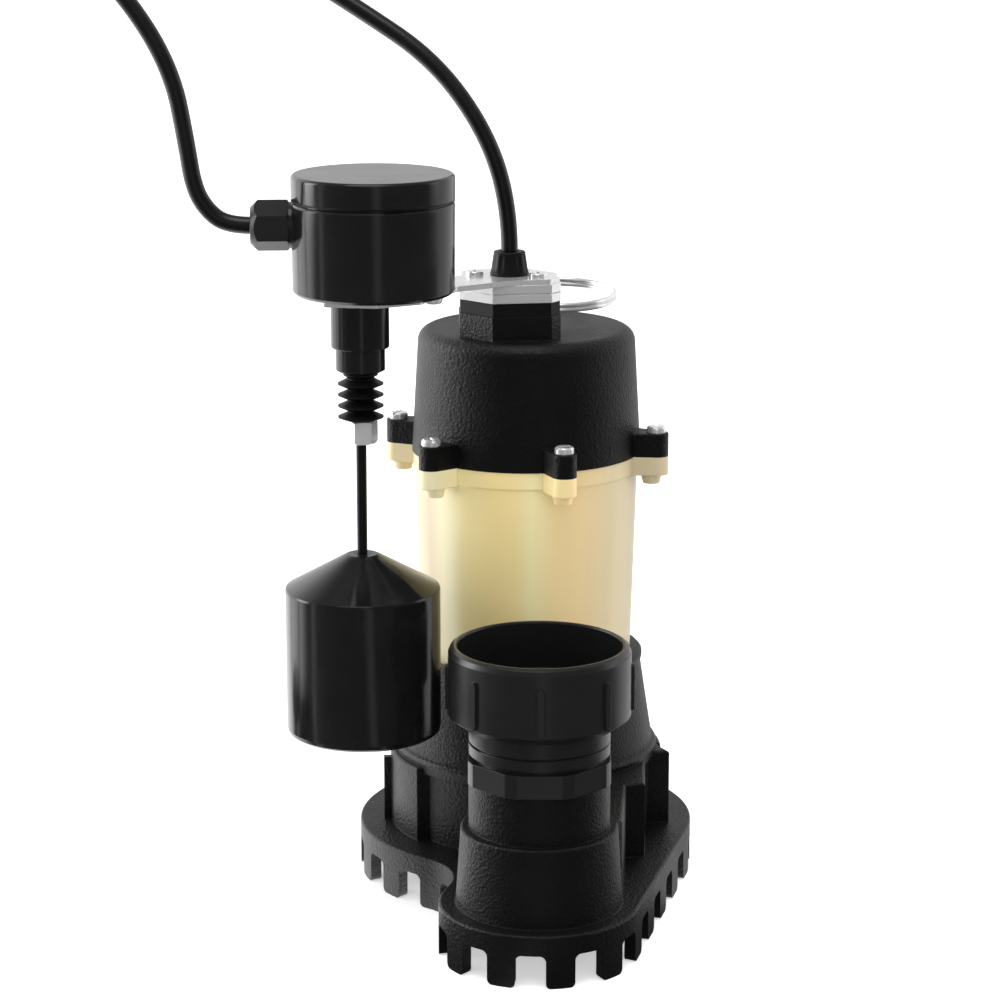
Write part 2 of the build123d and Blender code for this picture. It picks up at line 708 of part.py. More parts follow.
def build_cap():
    """Cast motor cap with ears, cord boss and lifting eye."""
    shoulder = 7.0
    body = spun([(0, EAR_Z1), (CAP_R0, EAR_Z1), (CAP_R1, CAP_TOP - shoulder), (CAP_R1, CAP_TOP), (0, CAP_TOP)])
    body = softened(body, CAP_TOP, shoulder - 0.5)
    ears = housing_ears(EAR_Z1, CAP_EAR_TOP, EAR_R)
    body += softened(ears, CAP_EAR_TOP, 0.8)
    body += prism(entry_outline(), CAP_TOP - 12, ENTRY_TOP)
    axis, across = ring_frame()
    eye = Vector(*RING_EYE)
    lug_plane = Plane(origin=eye, x_dir=across, z_dir=axis)
    lug = lug_plane * extrude(Circle(RING_EYE_R + 4.2), 3.2, both=True)
    foot = Pos(eye.X, eye.Y, CAP_TOP - 8) * Rot(0, 0, -2.5) * extrude(
        Rectangle(2 * RING_EYE_R + 8.4, 6.6), eye.Z - CAP_TOP + 8
    )
    body += foot + lug
    body -= lug_plane * extrude(Circle(RING_EYE_R), 8, both=True)
    inner = spun([
        (0, EAR_Z1 - 1), (CAP_R0 - CAP_WALL - 3.2, EAR_Z1 - 1), (CAP_R1 - CAP_WALL - 1.6, CAP_TOP - shoulder - 2),
        (CAP_R1 - CAP_WALL - 6.5, CAP_TOP - 5), (0, CAP_TOP - 5),
    ])
    body -= inner
    spigot = tube(HOUSING_BORE + 2.0, HOUSING_BORE - 1.5, TOP_BEARING[2] + 4, EAR_Z1 + 1)
    body += spigot
    body -= rod(ENTRY_BORE, CAP_TOP - 6, ENTRY_TOP + 1, ENTRY)
    for spot in clamp_spots():
        body -= rod(CLAMP_SCREW_R, CAP_TOP + 1, ENTRY_TOP + 1, spot)
    for spot in ear_spots():
        body -= rod(CAP_SCREW_R, EAR_Z1 - 1, CAP_EAR_TOP + 1, spot)
    return body


def build_cap_screws():
    """Six slotted pan-head screws through the ears."""
    screws = []
    for index, spot in enumerate(ear_spots()):
        screw = rod(CAP_SCREW_R, EAR_Z0 + 0.5, CAP_EAR_TOP, spot)
        head = softened(rod(4.6, CAP_EAR_TOP, CAP_EAR_TOP + 3.2, spot), CAP_EAR_TOP + 3.2, 1.3)
        slot = Pos(spot[0], spot[1], CAP_EAR_TOP + 2.0) * Rot(0, 0, 35 + 50 * index) * Box(
            12, 1.3, 3, align=(Align.CENTER, Align.CENTER, Align.MIN)
        )
        screws.append(screw + head - slot)
    return Compound(children=screws)


def build_capacitor():
    """Run capacitor can lying under the cap."""
    can = Cylinder(14, 58)
    can = fillet(can.edges(), 1.5)
    can = Rot(0, 90, 0) * can
    studs = Pos(30.5, -5, 0) * Box(5, 6, 0.8) + Pos(30.5, 5, 0) * Box(5, 6, 0.8)
    return Pos(-2, 14, 243) * (can + studs)


def build_capacitor_strap():
    """Bent strap that holds the capacitor to the bearing bracket."""
    strap = Cylinder(15.2, 12) - Cylinder(14.0, 14)
    strap = Rot(0, 90, 0) * strap
    body = Pos(-2, 14, 243) * strap
    foot_z = TOP_BEARING[2] + 4
    for y in (-1.2, 29.2):
        leg = Pos(-2, y, foot_z) * Box(12, 1.2, 243 - foot_z, align=(Align.CENTER, Align.CENTER, Align.MIN))
        body += leg
        body += Pos(-2, y + (2.8 if y > 0 else -2.8), foot_z) * Box(
            12, 6.8, 1.2, align=(Align.CENTER, Align.CENTER, Align.MIN)
        )
    body -= Pos(-2, 14, 243) * (Rot(0, 90, 0) * Cylinder(14.0, 14))
    return body - rod(TOP_BEARING[1] + 4, foot_z - 1, TOP_BEARING[3] + 2)


# ---- cord entry ------------------------------------------------------------
def entry_layer(z0, z1, inset=0.0, bore=ENTRY_BORE):
    """One layer of the clamped stack on the cord boss."""
    body = prism(entry_outline(inset), z0, z1)
    body -= rod(bore, z0 - 1, z1 + 1, ENTRY)
    for spot in clamp_spots():
        body -= rod(CLAMP_SCREW_R, z0 - 1, z1 + 1, spot)
    return body


def build_entry_seal():
    """Rubber sealing block under the clamp."""
    return entry_layer(ENTRY_TOP, ENTRY_SEAL_TOP, 0.35)


def build_cord_clamp():
    """Bright clamp block over the seal."""
    body = entry_layer(ENTRY_SEAL_TOP, CLAMP_SEAM - 0.25) + entry_layer(CLAMP_SEAM + 0.25, CLAMP_TOP)
    return body + entry_layer(CLAMP_SEAM - 0.25, CLAMP_SEAM + 0.25, 0.7)


def bracket_plan():
    """Plan of the switch bracket: clamp pad, arm and switch pad."""
    pad = make_face(Polyline(entry_outline(1.2), close=True))
    arm = make_face(Polyline([
        (0, -36.5), (-13, -42), (-35, -55), (-44, -70), (-52, -88), (-72, -97.5), (-96, -93),
        (-104, -76), (-97, -58), (-74, -47.5), (-52, -38), (-33, -24), (-20, -8),
    ], close=True))
    plan = pad + arm
    return fillet(plan.vertices(), 3)


def build_bracket():
    """Flat stainless plate that carries the float switch."""
    body = Pos(0, 0, PLATE_Z0) * extrude(bracket_plan(), PLATE_T)
    body -= rod(ENTRY_BORE, PLATE_Z0 - 1, PLATE_TOP + 1, ENTRY)
    body -= rod(STEM_R0 + 0.4, PLATE_Z0 - 1, PLATE_TOP + 1, ROD)
    for spot in clamp_spots():
        body -= rod(CLAMP_SCREW_R, PLATE_Z0 - 1, PLATE_TOP + 1, spot)
    for spot in mount_spots():
        body -= rod(2.0, PLATE_Z0 - 1, PLATE_TOP + 1, spot)
    return body


def mount_spots():
    """Screws that hold the switch housing on the bracket."""
    spots = []
    for deg in (11.4, 131.4):
        turn = math.radians(deg)
        spots.append((SWITCH[0] + 27.4 * math.cos(turn), SWITCH[1] + 27.4 * math.sin(turn)))
    return spots


def build_mount_screws():
    """Dome screws from under the bracket into the switch housing."""
    screws = []
    for spot in mount_spots():
        screw = rod(2.0, PLATE_Z0, SWITCH_Z0 + 6, spot)
        dome = Pos(spot[0], spot[1], PLATE_Z0) * Sphere(4.6)
        dome &= rod(5.0, PLATE_Z0 - 2.6, PLATE_Z0, spot)
        screws.append(screw + dome)
    return Compound(children=screws)


def build_clamp_screws():
    """Two pan-head screws through plate, clamp and seal into the cap."""
    screws = []
    for spot in clamp_spots():
        screw = rod(CLAMP_SCREW_R, CAP_TOP + 3, PLATE_TOP, spot)
        head = softened(rod(4.2, PLATE_TOP, PLATE_TOP + 2.1, spot), PLATE_TOP + 2.1, 1.1)
        head -= Pos(spot[0], spot[1], PLATE_TOP + 2.1) * Box(1.1, 5.6, 2.6)
        head -= Pos(spot[0], spot[1], PLATE_TOP + 2.1) * Box(5.6, 1.1, 2.6)
        screws.append(screw + head)
    return Compound(children=screws)


def build_strain_relief():
    """Moulded cone on the cord where it leaves the clamp."""
    body = taper(RELIEF_R0, RELIEF_R1, PLATE_TOP, PLATE_TOP + RELIEF_H, ENTRY)
    body += rod(ENTRY_BORE, CAP_TOP - 5, PLATE_TOP, ENTRY)
    body = softened(body, PLATE_TOP + RELIEF_H, 0.6)
    return body - rod(CORD_D / 2, CAP_TOP - 6, PLATE_TOP + RELIEF_H + 1, ENTRY)


def build_lifting_ring():
    """Split ring of two wire turns through the eye on the cap."""
    axis, across = ring_frame()
    normal = across.cross(axis)
    centre = Vector(*RING_EYE) + across * RING_R
    turns = []
    for side in (-1, 1):
        place = Plane(origin=centre + normal * (side * (RING_WIRE_R - 0.05)), z_dir=normal)
        turns.append(place * Torus(RING_R, RING_WIRE_R))
    return turns[0] + turns[1]


# ---- float switch ----------------------------------------------------------
def build_switch_housing():
    """Round switch body: cup with floor, rim groove and cord boss."""
    wall_in = SWITCH_R - 2.6
    body = spun([
        (0, SWITCH_Z0), (SWITCH_R - 1.6, SWITCH_Z0), (SWITCH_R - 0.3, SWITCH_Z0 + 1.4),
        (SWITCH_R, LID_Z0 - LID_GROOVE - 1.0), (SWITCH_R - 0.6, LID_Z0 - LID_GROOVE),
        (SWITCH_R - 1.4, LID_Z0 - LID_GROOVE), (SWITCH_R - 1.4, LID_Z0), (0, LID_Z0),
    ], SWITCH)
    boss = Pos(SWITCH[0] - SWITCH_R - 1.0, GLAND_Y, GLAND_Z) * Rot(0, 90, 0) * Cylinder(
        10.6, 12, align=(Align.CENTER, Align.CENTER, Align.MIN)
    )
    body += boss
    body -= rod(wall_in, SWITCH_Z0 + 3, LID_Z0 + 1, SWITCH)
    for spot in mount_spots():
        body += rod(4.5, SWITCH_Z0 + 2, SWITCH_Z0 + 8, spot)
        body -= rod(2.0, SWITCH_Z0 - 1, SWITCH_Z0 + 6, spot)
    body += rod(11.5, SWITCH_Z0 + 2, SWITCH_Z0 + 8, ROD)
    body -= rod(9.0, SWITCH_Z0 - 1, SWITCH_Z0 + 9, ROD)
    for dy in (-9, 9):
        body += rod(2.4, SWITCH_Z0 + 2, SWITCH_Z0 + 18, (SWITCH[0] + BLOCK_X, SWITCH[1] + dy))
    hole = Pos(SWITCH[0] - 40, GLAND_Y, GLAND_Z) * Rot(0, 90, 0) * Cylinder(7, 24)
    return body - hole


def build_switch_lid():
    """Push-on lid with a spigot and latch tabs."""
    body = rod(SWITCH_R, LID_Z0, SWITCH_TOP, SWITCH)
    body = softened(body, SWITCH_TOP, 1.8)
    body -= rod(SWITCH_R - 5.2, LID_Z0 - 1, SWITCH_TOP - 3, SWITCH)
    body += tube(SWITCH_R - 2.8, SWITCH_R - 5.0, LID_Z0 - 1.8, LID_Z0 + 1, SWITCH)
    for deg in (285, 45):
        turn = math.radians(deg)
        spot = (SWITCH[0] + SWITCH_R * math.cos(turn), SWITCH[1] + SWITCH_R * math.sin(turn))
        tab = Pos(spot[0], spot[1], LID_Z0) * Rot(0, 0, deg) * Box(
            2.4, 9, 3.2, align=(Align.CENTER, Align.CENTER, Align.MIN)
        )
        body += tab
    return body


def build_lid_seal():
    """Flat ring under the lid rim."""
    return tube(SWITCH_R - 0.1, SWITCH_R - 1.4, LID_Z0 - 0.8, LID_Z0, SWITCH)


def build_bracket_gasket():
    """Thin pad between bracket and switch housing."""
    body = rod(30, PLATE_TOP, SWITCH_Z0, SWITCH)
    body &= prism([(-104, -76), (-97, -60), (-74, -50), (-50, -50), (-47, -72), (-54, -86), (-72, -95), (-95, -91)],
                  PLATE_TOP, SWITCH_Z0)
    body -= rod(STEM_R0 + 0.4, PLATE_TOP - 1, SWITCH_Z0 + 1, ROD)
    for spot in mount_spots():
        body -= rod(2.0, PLATE_TOP - 1, SWITCH_Z0 + 1, spot)
    return body


def build_stem_tube():
    """Stepped guide tube below the switch housing."""
    body = rod(STEM_R0, STEM_Z1, SWITCH_Z0, ROD)
    body = softened(body, STEM_Z1, 0.8)
    body += spun([(0, STEM_Z0), (8.4, STEM_Z0), (STEM_R1, STEM_Z0 + 1.6), (STEM_R1, STEM_Z1 + 2), (0, STEM_Z1 + 2)], ROD)
    body += rod(9.0, SWITCH_Z0 - 1, SWITCH_Z0 + 10, ROD)
    return body - rod(STEM_BORE, STEM_Z0 - 1, SWITCH_Z0 + 11, ROD)


def build_stem_nut():
    """Ring nut that holds the guide tube inside the housing."""
    body = hexagon(22, SWITCH_Z0 + 8, SWITCH_Z0 + 12, ROD)
    return body - rod(9.0, SWITCH_Z0 + 7, SWITCH_Z0 + 13, ROD)


def build_bellows():
    """Rubber bellows that seals the rod to the tube."""
    fold = (STEM_Z0 - 2.4 - BELLOWS_Z0 + BELLOWS_SINK) / BELLOWS_FOLDS
    first = BELLOWS_Z0 - BELLOWS_SINK
    outer = [(BELLOWS_NECK_R, BELLOWS_Z0)]
    inner = []
    for k in range(BELLOWS_FOLDS):
        z = first + fold * k
        outer.append((BELLOWS_R, z + fold * 0.46))
        outer.append((BELLOWS_R, z + fold * 0.54))
        inner.append((BELLOWS_R - 1.9, z + fold * 0.5))
        if k < BELLOWS_FOLDS - 1:
            outer.append((BELLOWS_VALLEY_R, z + fold))
            inner.append((BELLOWS_VALLEY_R - 1.4, z + fold))
    outer += [(BELLOWS_VALLEY_R + 0.3, STEM_Z0 - 2.2), (8.0, STEM_Z0 - 0.9), (8.0, STEM_Z0)]
    inner = [(ROD_R + GAP, BELLOWS_Z0), (ROD_R + GAP, BELLOWS_Z0 + 0.4)] + inner + [(BELLOWS_VALLEY_R - 1.0, STEM_Z0)]
    return spun(outer + inner[::-1], ROD)


def build_float_rod():
    """Switch rod from the lower stop to the plunger."""
    return rod(ROD_R, ROD_END, SWITCH_Z0 + 14, ROD)


def build_rod_nut():
    """Long bright hex nut, upper stop of the float."""
    body = hexagon(ROD_NUT_AF, ROD_NUT_Z0, BELLOWS_Z0 - GAP, ROD, 8)
    body &= spun([
        (0, ROD_NUT_Z0), (6.8, ROD_NUT_Z0), (7.9, ROD_NUT_Z0 + 0.9), (7.9, BELLOWS_Z0 - GAP - 0.9),
        (6.8, BELLOWS_Z0 - GAP), (0, BELLOWS_Z0 - GAP),
    ], ROD)
    return body - rod(ROD_R, ROD_NUT_Z0 - 1, BELLOWS_Z0 + 1, ROD)


def build_rod_stop():
    """Lower stop nut under the float bushing."""
    body = hexagon(10, ROD_END + 0.5, ROD_END + 5.5, ROD) + rod(7, ROD_END + 5.5, ROD_END + 7, ROD)
    return body - rod(ROD_R, ROD_END - 1, ROD_END + 9, ROD)


def build_plunger():
    """Cap on the rod that lifts the switch lever."""
    body = rod(3.4, SWITCH_Z0 + 13.0, SWITCH_Z0 + 16, ROD)
    body = softened(body, SWITCH_Z0 + 16, 1.4)
    return body - rod(ROD_R, SWITCH_Z0 + 12, SWITCH_Z0 + 14, ROD)


def build_float_shell():
    """Hollow float body, open below."""
    neck_in = ROD_R + RUN + 2.4
    body = spun([
        (FLOAT_R - 2.0, FLOAT_Z0), (FLOAT_R - 0.5, FLOAT_Z0 + 1.2), (FLOAT_R, FLOAT_Z0 + 3),
        (FLOAT_R, FLOAT_SHOULDER - 1.2), (FLOAT_R - 0.35, FLOAT_SHOULDER - 0.35), (FLOAT_R - 1.5, FLOAT_SHOULDER + 0.3),
        (FLOAT_TOP_R + 1.5, FLOAT_TOP - 0.6), (FLOAT_TOP_R, FLOAT_TOP), (neck_in, FLOAT_TOP),
        (neck_in, FLOAT_TOP - 6), (FLOAT_TOP_R + 3, FLOAT_TOP - 6),
        (FLOAT_R - FLOAT_WALL - 2.5, FLOAT_SHOULDER - FLOAT_WALL), (FLOAT_R - FLOAT_WALL, FLOAT_SHOULDER - 5),
        (FLOAT_R - FLOAT_WALL, FLOAT_Z0),
    ], ROD)
    return body


def build_float_base():
    """Bottom disc of the float with its recessed seat."""
    seat_z = ROD_END + 7
    body = spun([
        (8.2, FLOAT_Z0 + 0.6), (FLOAT_R - FLOAT_WALL, FLOAT_Z0 + 0.6), (FLOAT_R - FLOAT_WALL, FLOAT_Z0 + 3.6),
        (10.4, FLOAT_Z0 + 3.6), (10.4, seat_z + 2.4), (ROD_R + RUN + 2.4, seat_z + 2.4),
        (ROD_R + RUN + 2.4, seat_z), (8.2, seat_z),
    ], ROD)
    return body


def build_float_bushing():
    """Smooth liner through the float, running on the rod."""
    seat_z = ROD_END + 7
    body = tube(ROD_R + RUN + 2.4, ROD_R + RUN, seat_z, FLOAT_TOP, ROD)
    return body


def build_micro_switch():
    """Snap-action switch block on its posts."""
    x = SWITCH[0] + BLOCK_X
    body = Pos(x, SWITCH[1], SWITCH_Z0 + 20) * Box(12, 28, 16, align=(Align.CENTER, Align.CENTER, Align.MIN))
    body = fillet(body.edges(), 0.8)
    for dy in (-9, 9):
        post = rod(2.4, SWITCH_Z0 + 18, SWITCH_Z0 + 20.5, (x, SWITCH[1] + dy))
        body += post
    for dy in (-8, 0, 8):
        body += Pos(x, SWITCH[1] + dy, SWITCH_Z0 + 35.5) * Box(0.8, 4.8, 6.5, align=(Align.CENTER, Align.CENTER, Align.MIN))
    return body


def build_switch_lever():
    """Lever pressed by the plunger."""
    z = SWITCH_Z0 + 17.0
    x1 = SWITCH[0] + BLOCK_X - 6
    lever = Pos((ROD[0] - 6 + x1) / 2, SWITCH[1], z) * Box(
        x1 - ROD[0] + 6, 6, 1.0, align=(Align.CENTER, Align.CENTER, Align.MIN)
    )
    return lever


def build_gland():
    """Six-sided cord gland with a short chamfered nose."""
    length = SWITCH[0] - SWITCH_R - 1.0 - GLAND_END
    corner = GLAND_AF / 2 / math.cos(math.radians(30))
    body = extrude(RegularPolygon(GLAND_AF / 2, 6, major_radius=False), length)
    body &= spun([
        (0, 0), (corner - 0.7, 0), (corner + 0.1, 0.9), (corner + 0.1, length - 3.6), (corner - 3.0, length - 0.4),
        (corner - 3.6, length), (0, length),
    ])
    body = Pos(0, 0, 1.0) * body
    body += Cylinder(7, 10, align=(Align.CENTER, Align.CENTER, Align.MAX)).moved(Location((0, 0, 2)))
    body -= Cylinder(CORD_D / 2, 60)
    return Pos(SWITCH[0] - SWITCH_R, GLAND_Y, GLAND_Z) * Rot(0, -90, 0) * body


def build_gland_nut():
    """Lock nut of the gland inside the housing."""
    face = Rot(0, 0, 90) * RegularPolygon(8.6, 6, major_radius=False)
    body = extrude(face, 3) - Cylinder(7, 10)
    return Pos(SWITCH[0] - SWITCH_R + 5.1, GLAND_Y, GLAND_Z) * Rot(0, 90, 0) * body


# ---- discharge fitting -----------------------------------------------------
def build_adapter():
    """Threaded outlet adapter: stub, octagon, collar and seat flange."""
    at = (0, OUTLET_Y)
    octagon = extrude(RegularPolygon(OCTAGON_AF / 2, 8, major_radius=False), OCTAGON_TOP - NECK_TOP)
    body = Pos(0, OUTLET_Y, NECK_TOP) * Rot(0, 0, 22.5 - 3) * octagon
    body &= rod(OCTAGON_AF / 2 + 1.6, NECK_TOP, OCTAGON_TOP, at)
    body += rod(STUB_R, NECK_TOP - 15, NECK_TOP, at)
    body += spun([
        (0, OCTAGON_TOP), (31.0, OCTAGON_TOP), (31.0, OCTAGON_TOP + 1.2), (32.4, OCTAGON_TOP + 1.6),
        (32.4, OCTAGON_TOP + 6.5), (31.4, OCTAGON_TOP + 7.1), (32.4, OCTAGON_TOP + 7.7),
        (32.4, COLLAR_TOP + UNION_LIP_T + 0.5), (36.2, COLLAR_TOP + UNION_LIP_T + 0.5),
        (36.2, COLLAR_TOP + UNION_LIP_T + 5.5), (0, COLLAR_TOP + UNION_LIP_T + 5.5),
    ], at)
    return body - rod(OUTLET_BORE_R, NECK_TOP - 16, UNION_TOP, at)


def build_union_seal():
    """Round sealing ring on the adapter's seat."""
    z = COLLAR_TOP + UNION_LIP_T + 5.5
    return Pos(0, OUTLET_Y, z + 1.75) * Torus(30, 1.75)


def build_union_nut():
    """Hand-turned union nut with grip ribs."""
    at = (0, OUTLET_Y)
    z0 = COLLAR_TOP
    z1 = UNION_TOP
    body = Pos(0, OUTLET_Y, 0) * Rot(0, 0, 15) * spun([
        (32.9, z0), (36.4, z0), (UNION_R, z0 + 4.0), (UNION_R, z1 - 3.2), (UNION_R - 1.0, z1 - 0.9),
        (UNION_R - 2.6, z1), (UNION_BORE + 0.5, z1), (UNION_BORE, z1 - 0.8), (UNION_BORE, UNION_SEAT_TOP),
        (UNION_BORE - 0.5, UNION_SEAT_TOP), (UNION_BORE - 0.5, z0 + UNION_LIP_T), (32.9, z0 + UNION_LIP_T),
    ])
    for k in range(GRIP_RIBS):
        x, y = from_front(UNION_R - 0.2, -2.5 + 360 / GRIP_RIBS * k)
        bar = extrude(Plane.XZ * (Rot(0, 0, 90) * SlotOverall(22, 3.4)), 2.4, both=True)
        bar = Pos(x, y + OUTLET_Y, 127.9) * (Rot(0, 0, -2.5 + 360 / GRIP_RIBS * k) * bar)
        body += bar & rod(UNION_R + 1.4, z0, z1, at)
    return body


# ---- cords -----------------------------------------------------------------
def build_coil(cord):
    """Outer shape of a wound coil of cord."""
    section = Pos(COIL_R, COIL_Z0 + COIL_H / 2) * RectangleRounded(COIL_W, COIL_H, 3.9)
    ring = revolve(Plane.XZ * section, axis=Axis.Z)
    return Pos(COIL_X, COIL_Y[cord], 0) * ring


def build_ties():
    """One strap round each coil."""
    return Compound(children=[build_tie("pump"), build_tie("switch")])


def build_tie(cord):
    """Strap round one coil, flat on the floor side."""
    outer = RectangleRounded(COIL_W + 3.4, COIL_H + 2.2, 4.9)
    inner = RectangleRounded(COIL_W + 1.4, COIL_H + 0.2, 3.9)
    loop = Rot(90, 0, 0) * extrude(outer - inner, TIE_W / 2, both=True)
    loop = Rot(0, 0, TIE_DEG) * (Pos(COIL_R, 0, COIL_Z0 + COIL_H / 2) * loop)
    return Pos(COIL_X, COIL_Y[cord], 0) * loop


def tail_points(cord):
    """Route of the free end from its coil to the plug."""
    return [(COIL_X + x, COIL_Y[cord] + y, z) for x, y, z in TAIL_ROUTE]


def build_plug(cord, piggyback):
    """Mains plug on the coil, blades towards +X."""
    x0, y0, z0 = tail_points(cord)[-1]
    body = Box(PLUG_L - 12, PLUG_W, PLUG_H, align=(Align.MIN, Align.CENTER, Align.CENTER))
    body = fillet(body.edges().filter_by(Axis.X), 6)
    body = Pos(12, 0, 0) * fillet(body.edges().group_by(Axis.X)[0], 3)
    boot = Rot(0, 90, 0) * Cone(5.4, 8.6, 14, align=(Align.CENTER, Align.CENTER, Align.MIN))
    body += boot
    for dy in (-6.35, 6.35):
        blade = Pos(PLUG_L - 1, dy, 2.0) * Box(18, 1.5, 6.3, align=(Align.MIN, Align.CENTER, Align.CENTER))
        body += blade
    pin = Pos(PLUG_L - 1, 0, -6.5) * Rot(0, 90, 0) * Cylinder(2.4, 20, align=(Align.CENTER, Align.CENTER, Align.MIN))
    body += fillet(pin.edges().group_by(Axis.X)[-1], 1.4)
    if piggyback:
        body += Pos(PLUG_L - 15, 0, 0) * Box(14, PLUG_W, PLUG_H + 8, align=(Align.MIN, Align.CENTER, Align.CENTER)) & (
            Pos(PLUG_L - 15, 0, 4) * Box(14, PLUG_W, PLUG_H, align=(Align.MIN, Align.CENTER, Align.CENTER))
        )
        for dy in (-6.35, 6.35):
            body -= Pos(PLUG_L - 8, dy, PLUG_H / 2 + 4) * Box(7, 1.9, 22)
        body -= Pos(PLUG_L - 12.5, 0, PLUG_H / 2 + 4) * Cylinder(2.4, 20)
    return Pos(x0, y0, z0) * body


def main():
    """Write every sub-part."""
    parts = {
        "volute_base": build_base(),
        "suction_cover": build_cover(),
        "cover_gasket": build_cover_gasket(),
        "cover_screws": build_cover_screws(),
        "bearing_bracket": build_bearing_bracket(),
        "lower_bearing": build_bearing(LOW_BEARING),
        "upper_bearing": build_bearing(TOP_BEARING),
        "motor_housing": build_housing(),
        "seat_screws": build_seat_screws(),
        "stator_core": build_stator_core(),
        "stator_windings": build_stator_windings(),
        "top_bracket": build_top_bracket(),
        "shaft": build_shaft(),
        "rotor_core": build_rotor_core(),
        "rotor_rings": build_rotor_rings(),
        "impeller": build_impeller(),
        "impeller_nut": build_impeller_nut(),
        "seal_seat": build_seal_seat(),
        "seal_ring": build_seal_ring(),
        "motor_cap": build_cap(),
        "cap_screws": build_cap_screws(),
        "run_capacitor": build_capacitor(),
        "capacitor_strap": build_capacitor_strap(),
        "entry_seal": build_entry_seal(),
        "cord_clamp": build_cord_clamp(),
        "switch_bracket": build_bracket(),
        "mount_screws": build_mount_screws(),
        "clamp_screws": build_clamp_screws(),
        "strain_relief": build_strain_relief(),
        "lifting_ring": build_lifting_ring(),
        "switch_housing": build_switch_housing(),
        "switch_lid": build_switch_lid(),
        "lid_seal": build_lid_seal(),
        "bracket_gasket": build_bracket_gasket(),
        "stem_tube": build_stem_tube(),
        "stem_nut": build_stem_nut(),
        "bellows": build_bellows(),
        "float_rod": build_float_rod(),
        "rod_nut": build_rod_nut(),
        "rod_stop": build_rod_stop(),
        "plunger": build_plunger(),
        "float_shell": build_float_shell(),
        "float_base": build_float_base(),
        "float_bushing": build_float_bushing(),
        "micro_switch": build_micro_switch(),
        "switch_lever": build_switch_lever(),
        "gland": build_gland(),
        "gland_nut": build_gland_nut(),
        "discharge_adapter": build_adapter(),
        "union_seal": build_union_seal(),
        "union_nut": build_union_nut(),
        "pump_cord": cord_tube(PUMP_ROUTE, CORD_D / 2),
        "pump_coil": build_coil("pump"),
        "cord_ties": build_ties(),
        "pump_tail": cord_tube(tail_points("pump"), CORD_D / 2),
        "pump_plug": build_plug("pump", False),
        "switch_cord": cord_tube(SWITCH_ROUTE, CORD_D / 2),
        "switch_coil": build_coil("switch"),
        "switch_tail": cord_tube(tail_points("switch"), CORD_D / 2),
        "switch_plug": build_plug("switch", True),
    }
    os.makedirs("parts", exist_ok=True)
    for name, shape in parts.items():
        export_step(shape, f"parts/{name}.step")


main()
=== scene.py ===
"""Looks of a submersible sump pump with a rod float switch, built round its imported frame."""

import json
import logging
import math
from dataclasses import dataclass, field
from enum import Enum
from typing import Any, Sequence

import bmesh
import bpy
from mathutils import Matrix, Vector

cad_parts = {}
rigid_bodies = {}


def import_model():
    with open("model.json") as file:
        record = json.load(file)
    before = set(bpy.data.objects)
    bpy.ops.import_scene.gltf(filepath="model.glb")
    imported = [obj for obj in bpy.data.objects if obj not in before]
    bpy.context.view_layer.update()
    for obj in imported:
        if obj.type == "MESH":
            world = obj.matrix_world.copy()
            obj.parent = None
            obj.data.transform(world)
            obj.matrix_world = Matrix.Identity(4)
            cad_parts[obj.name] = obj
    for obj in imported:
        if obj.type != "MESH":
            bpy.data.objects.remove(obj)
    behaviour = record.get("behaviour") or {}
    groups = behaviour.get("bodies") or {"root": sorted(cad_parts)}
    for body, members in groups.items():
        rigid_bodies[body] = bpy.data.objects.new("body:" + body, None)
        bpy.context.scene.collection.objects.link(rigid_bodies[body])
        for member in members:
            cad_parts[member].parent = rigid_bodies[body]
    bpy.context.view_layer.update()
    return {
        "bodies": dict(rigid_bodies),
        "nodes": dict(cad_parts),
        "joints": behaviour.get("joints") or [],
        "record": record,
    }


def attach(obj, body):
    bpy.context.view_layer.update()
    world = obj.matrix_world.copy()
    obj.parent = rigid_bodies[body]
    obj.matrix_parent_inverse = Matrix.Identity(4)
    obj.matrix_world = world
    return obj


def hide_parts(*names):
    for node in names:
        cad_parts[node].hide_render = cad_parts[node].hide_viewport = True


LOG = logging.getLogger("sump_pump")
MM = 0.001
PER_RADIAN = 0.5 / math.pi
WHITE = (1.0, 1.0, 1.0, 1.0)
Point = tuple[float, float, float]
Colour = tuple[float, float, float]


class Grain(Enum):
    """Direction in which a metal was polished or drawn."""

    NONE = (1.0, 1.0, 1.0)
    ROUND = (1.0, 1.0, 14.0)
    UPRIGHT = (9.0, 9.0, 0.6)


class Side(Enum):
    """The two mains leads of the pump."""

    PUMP = "pump"
    SWITCH = "switch"


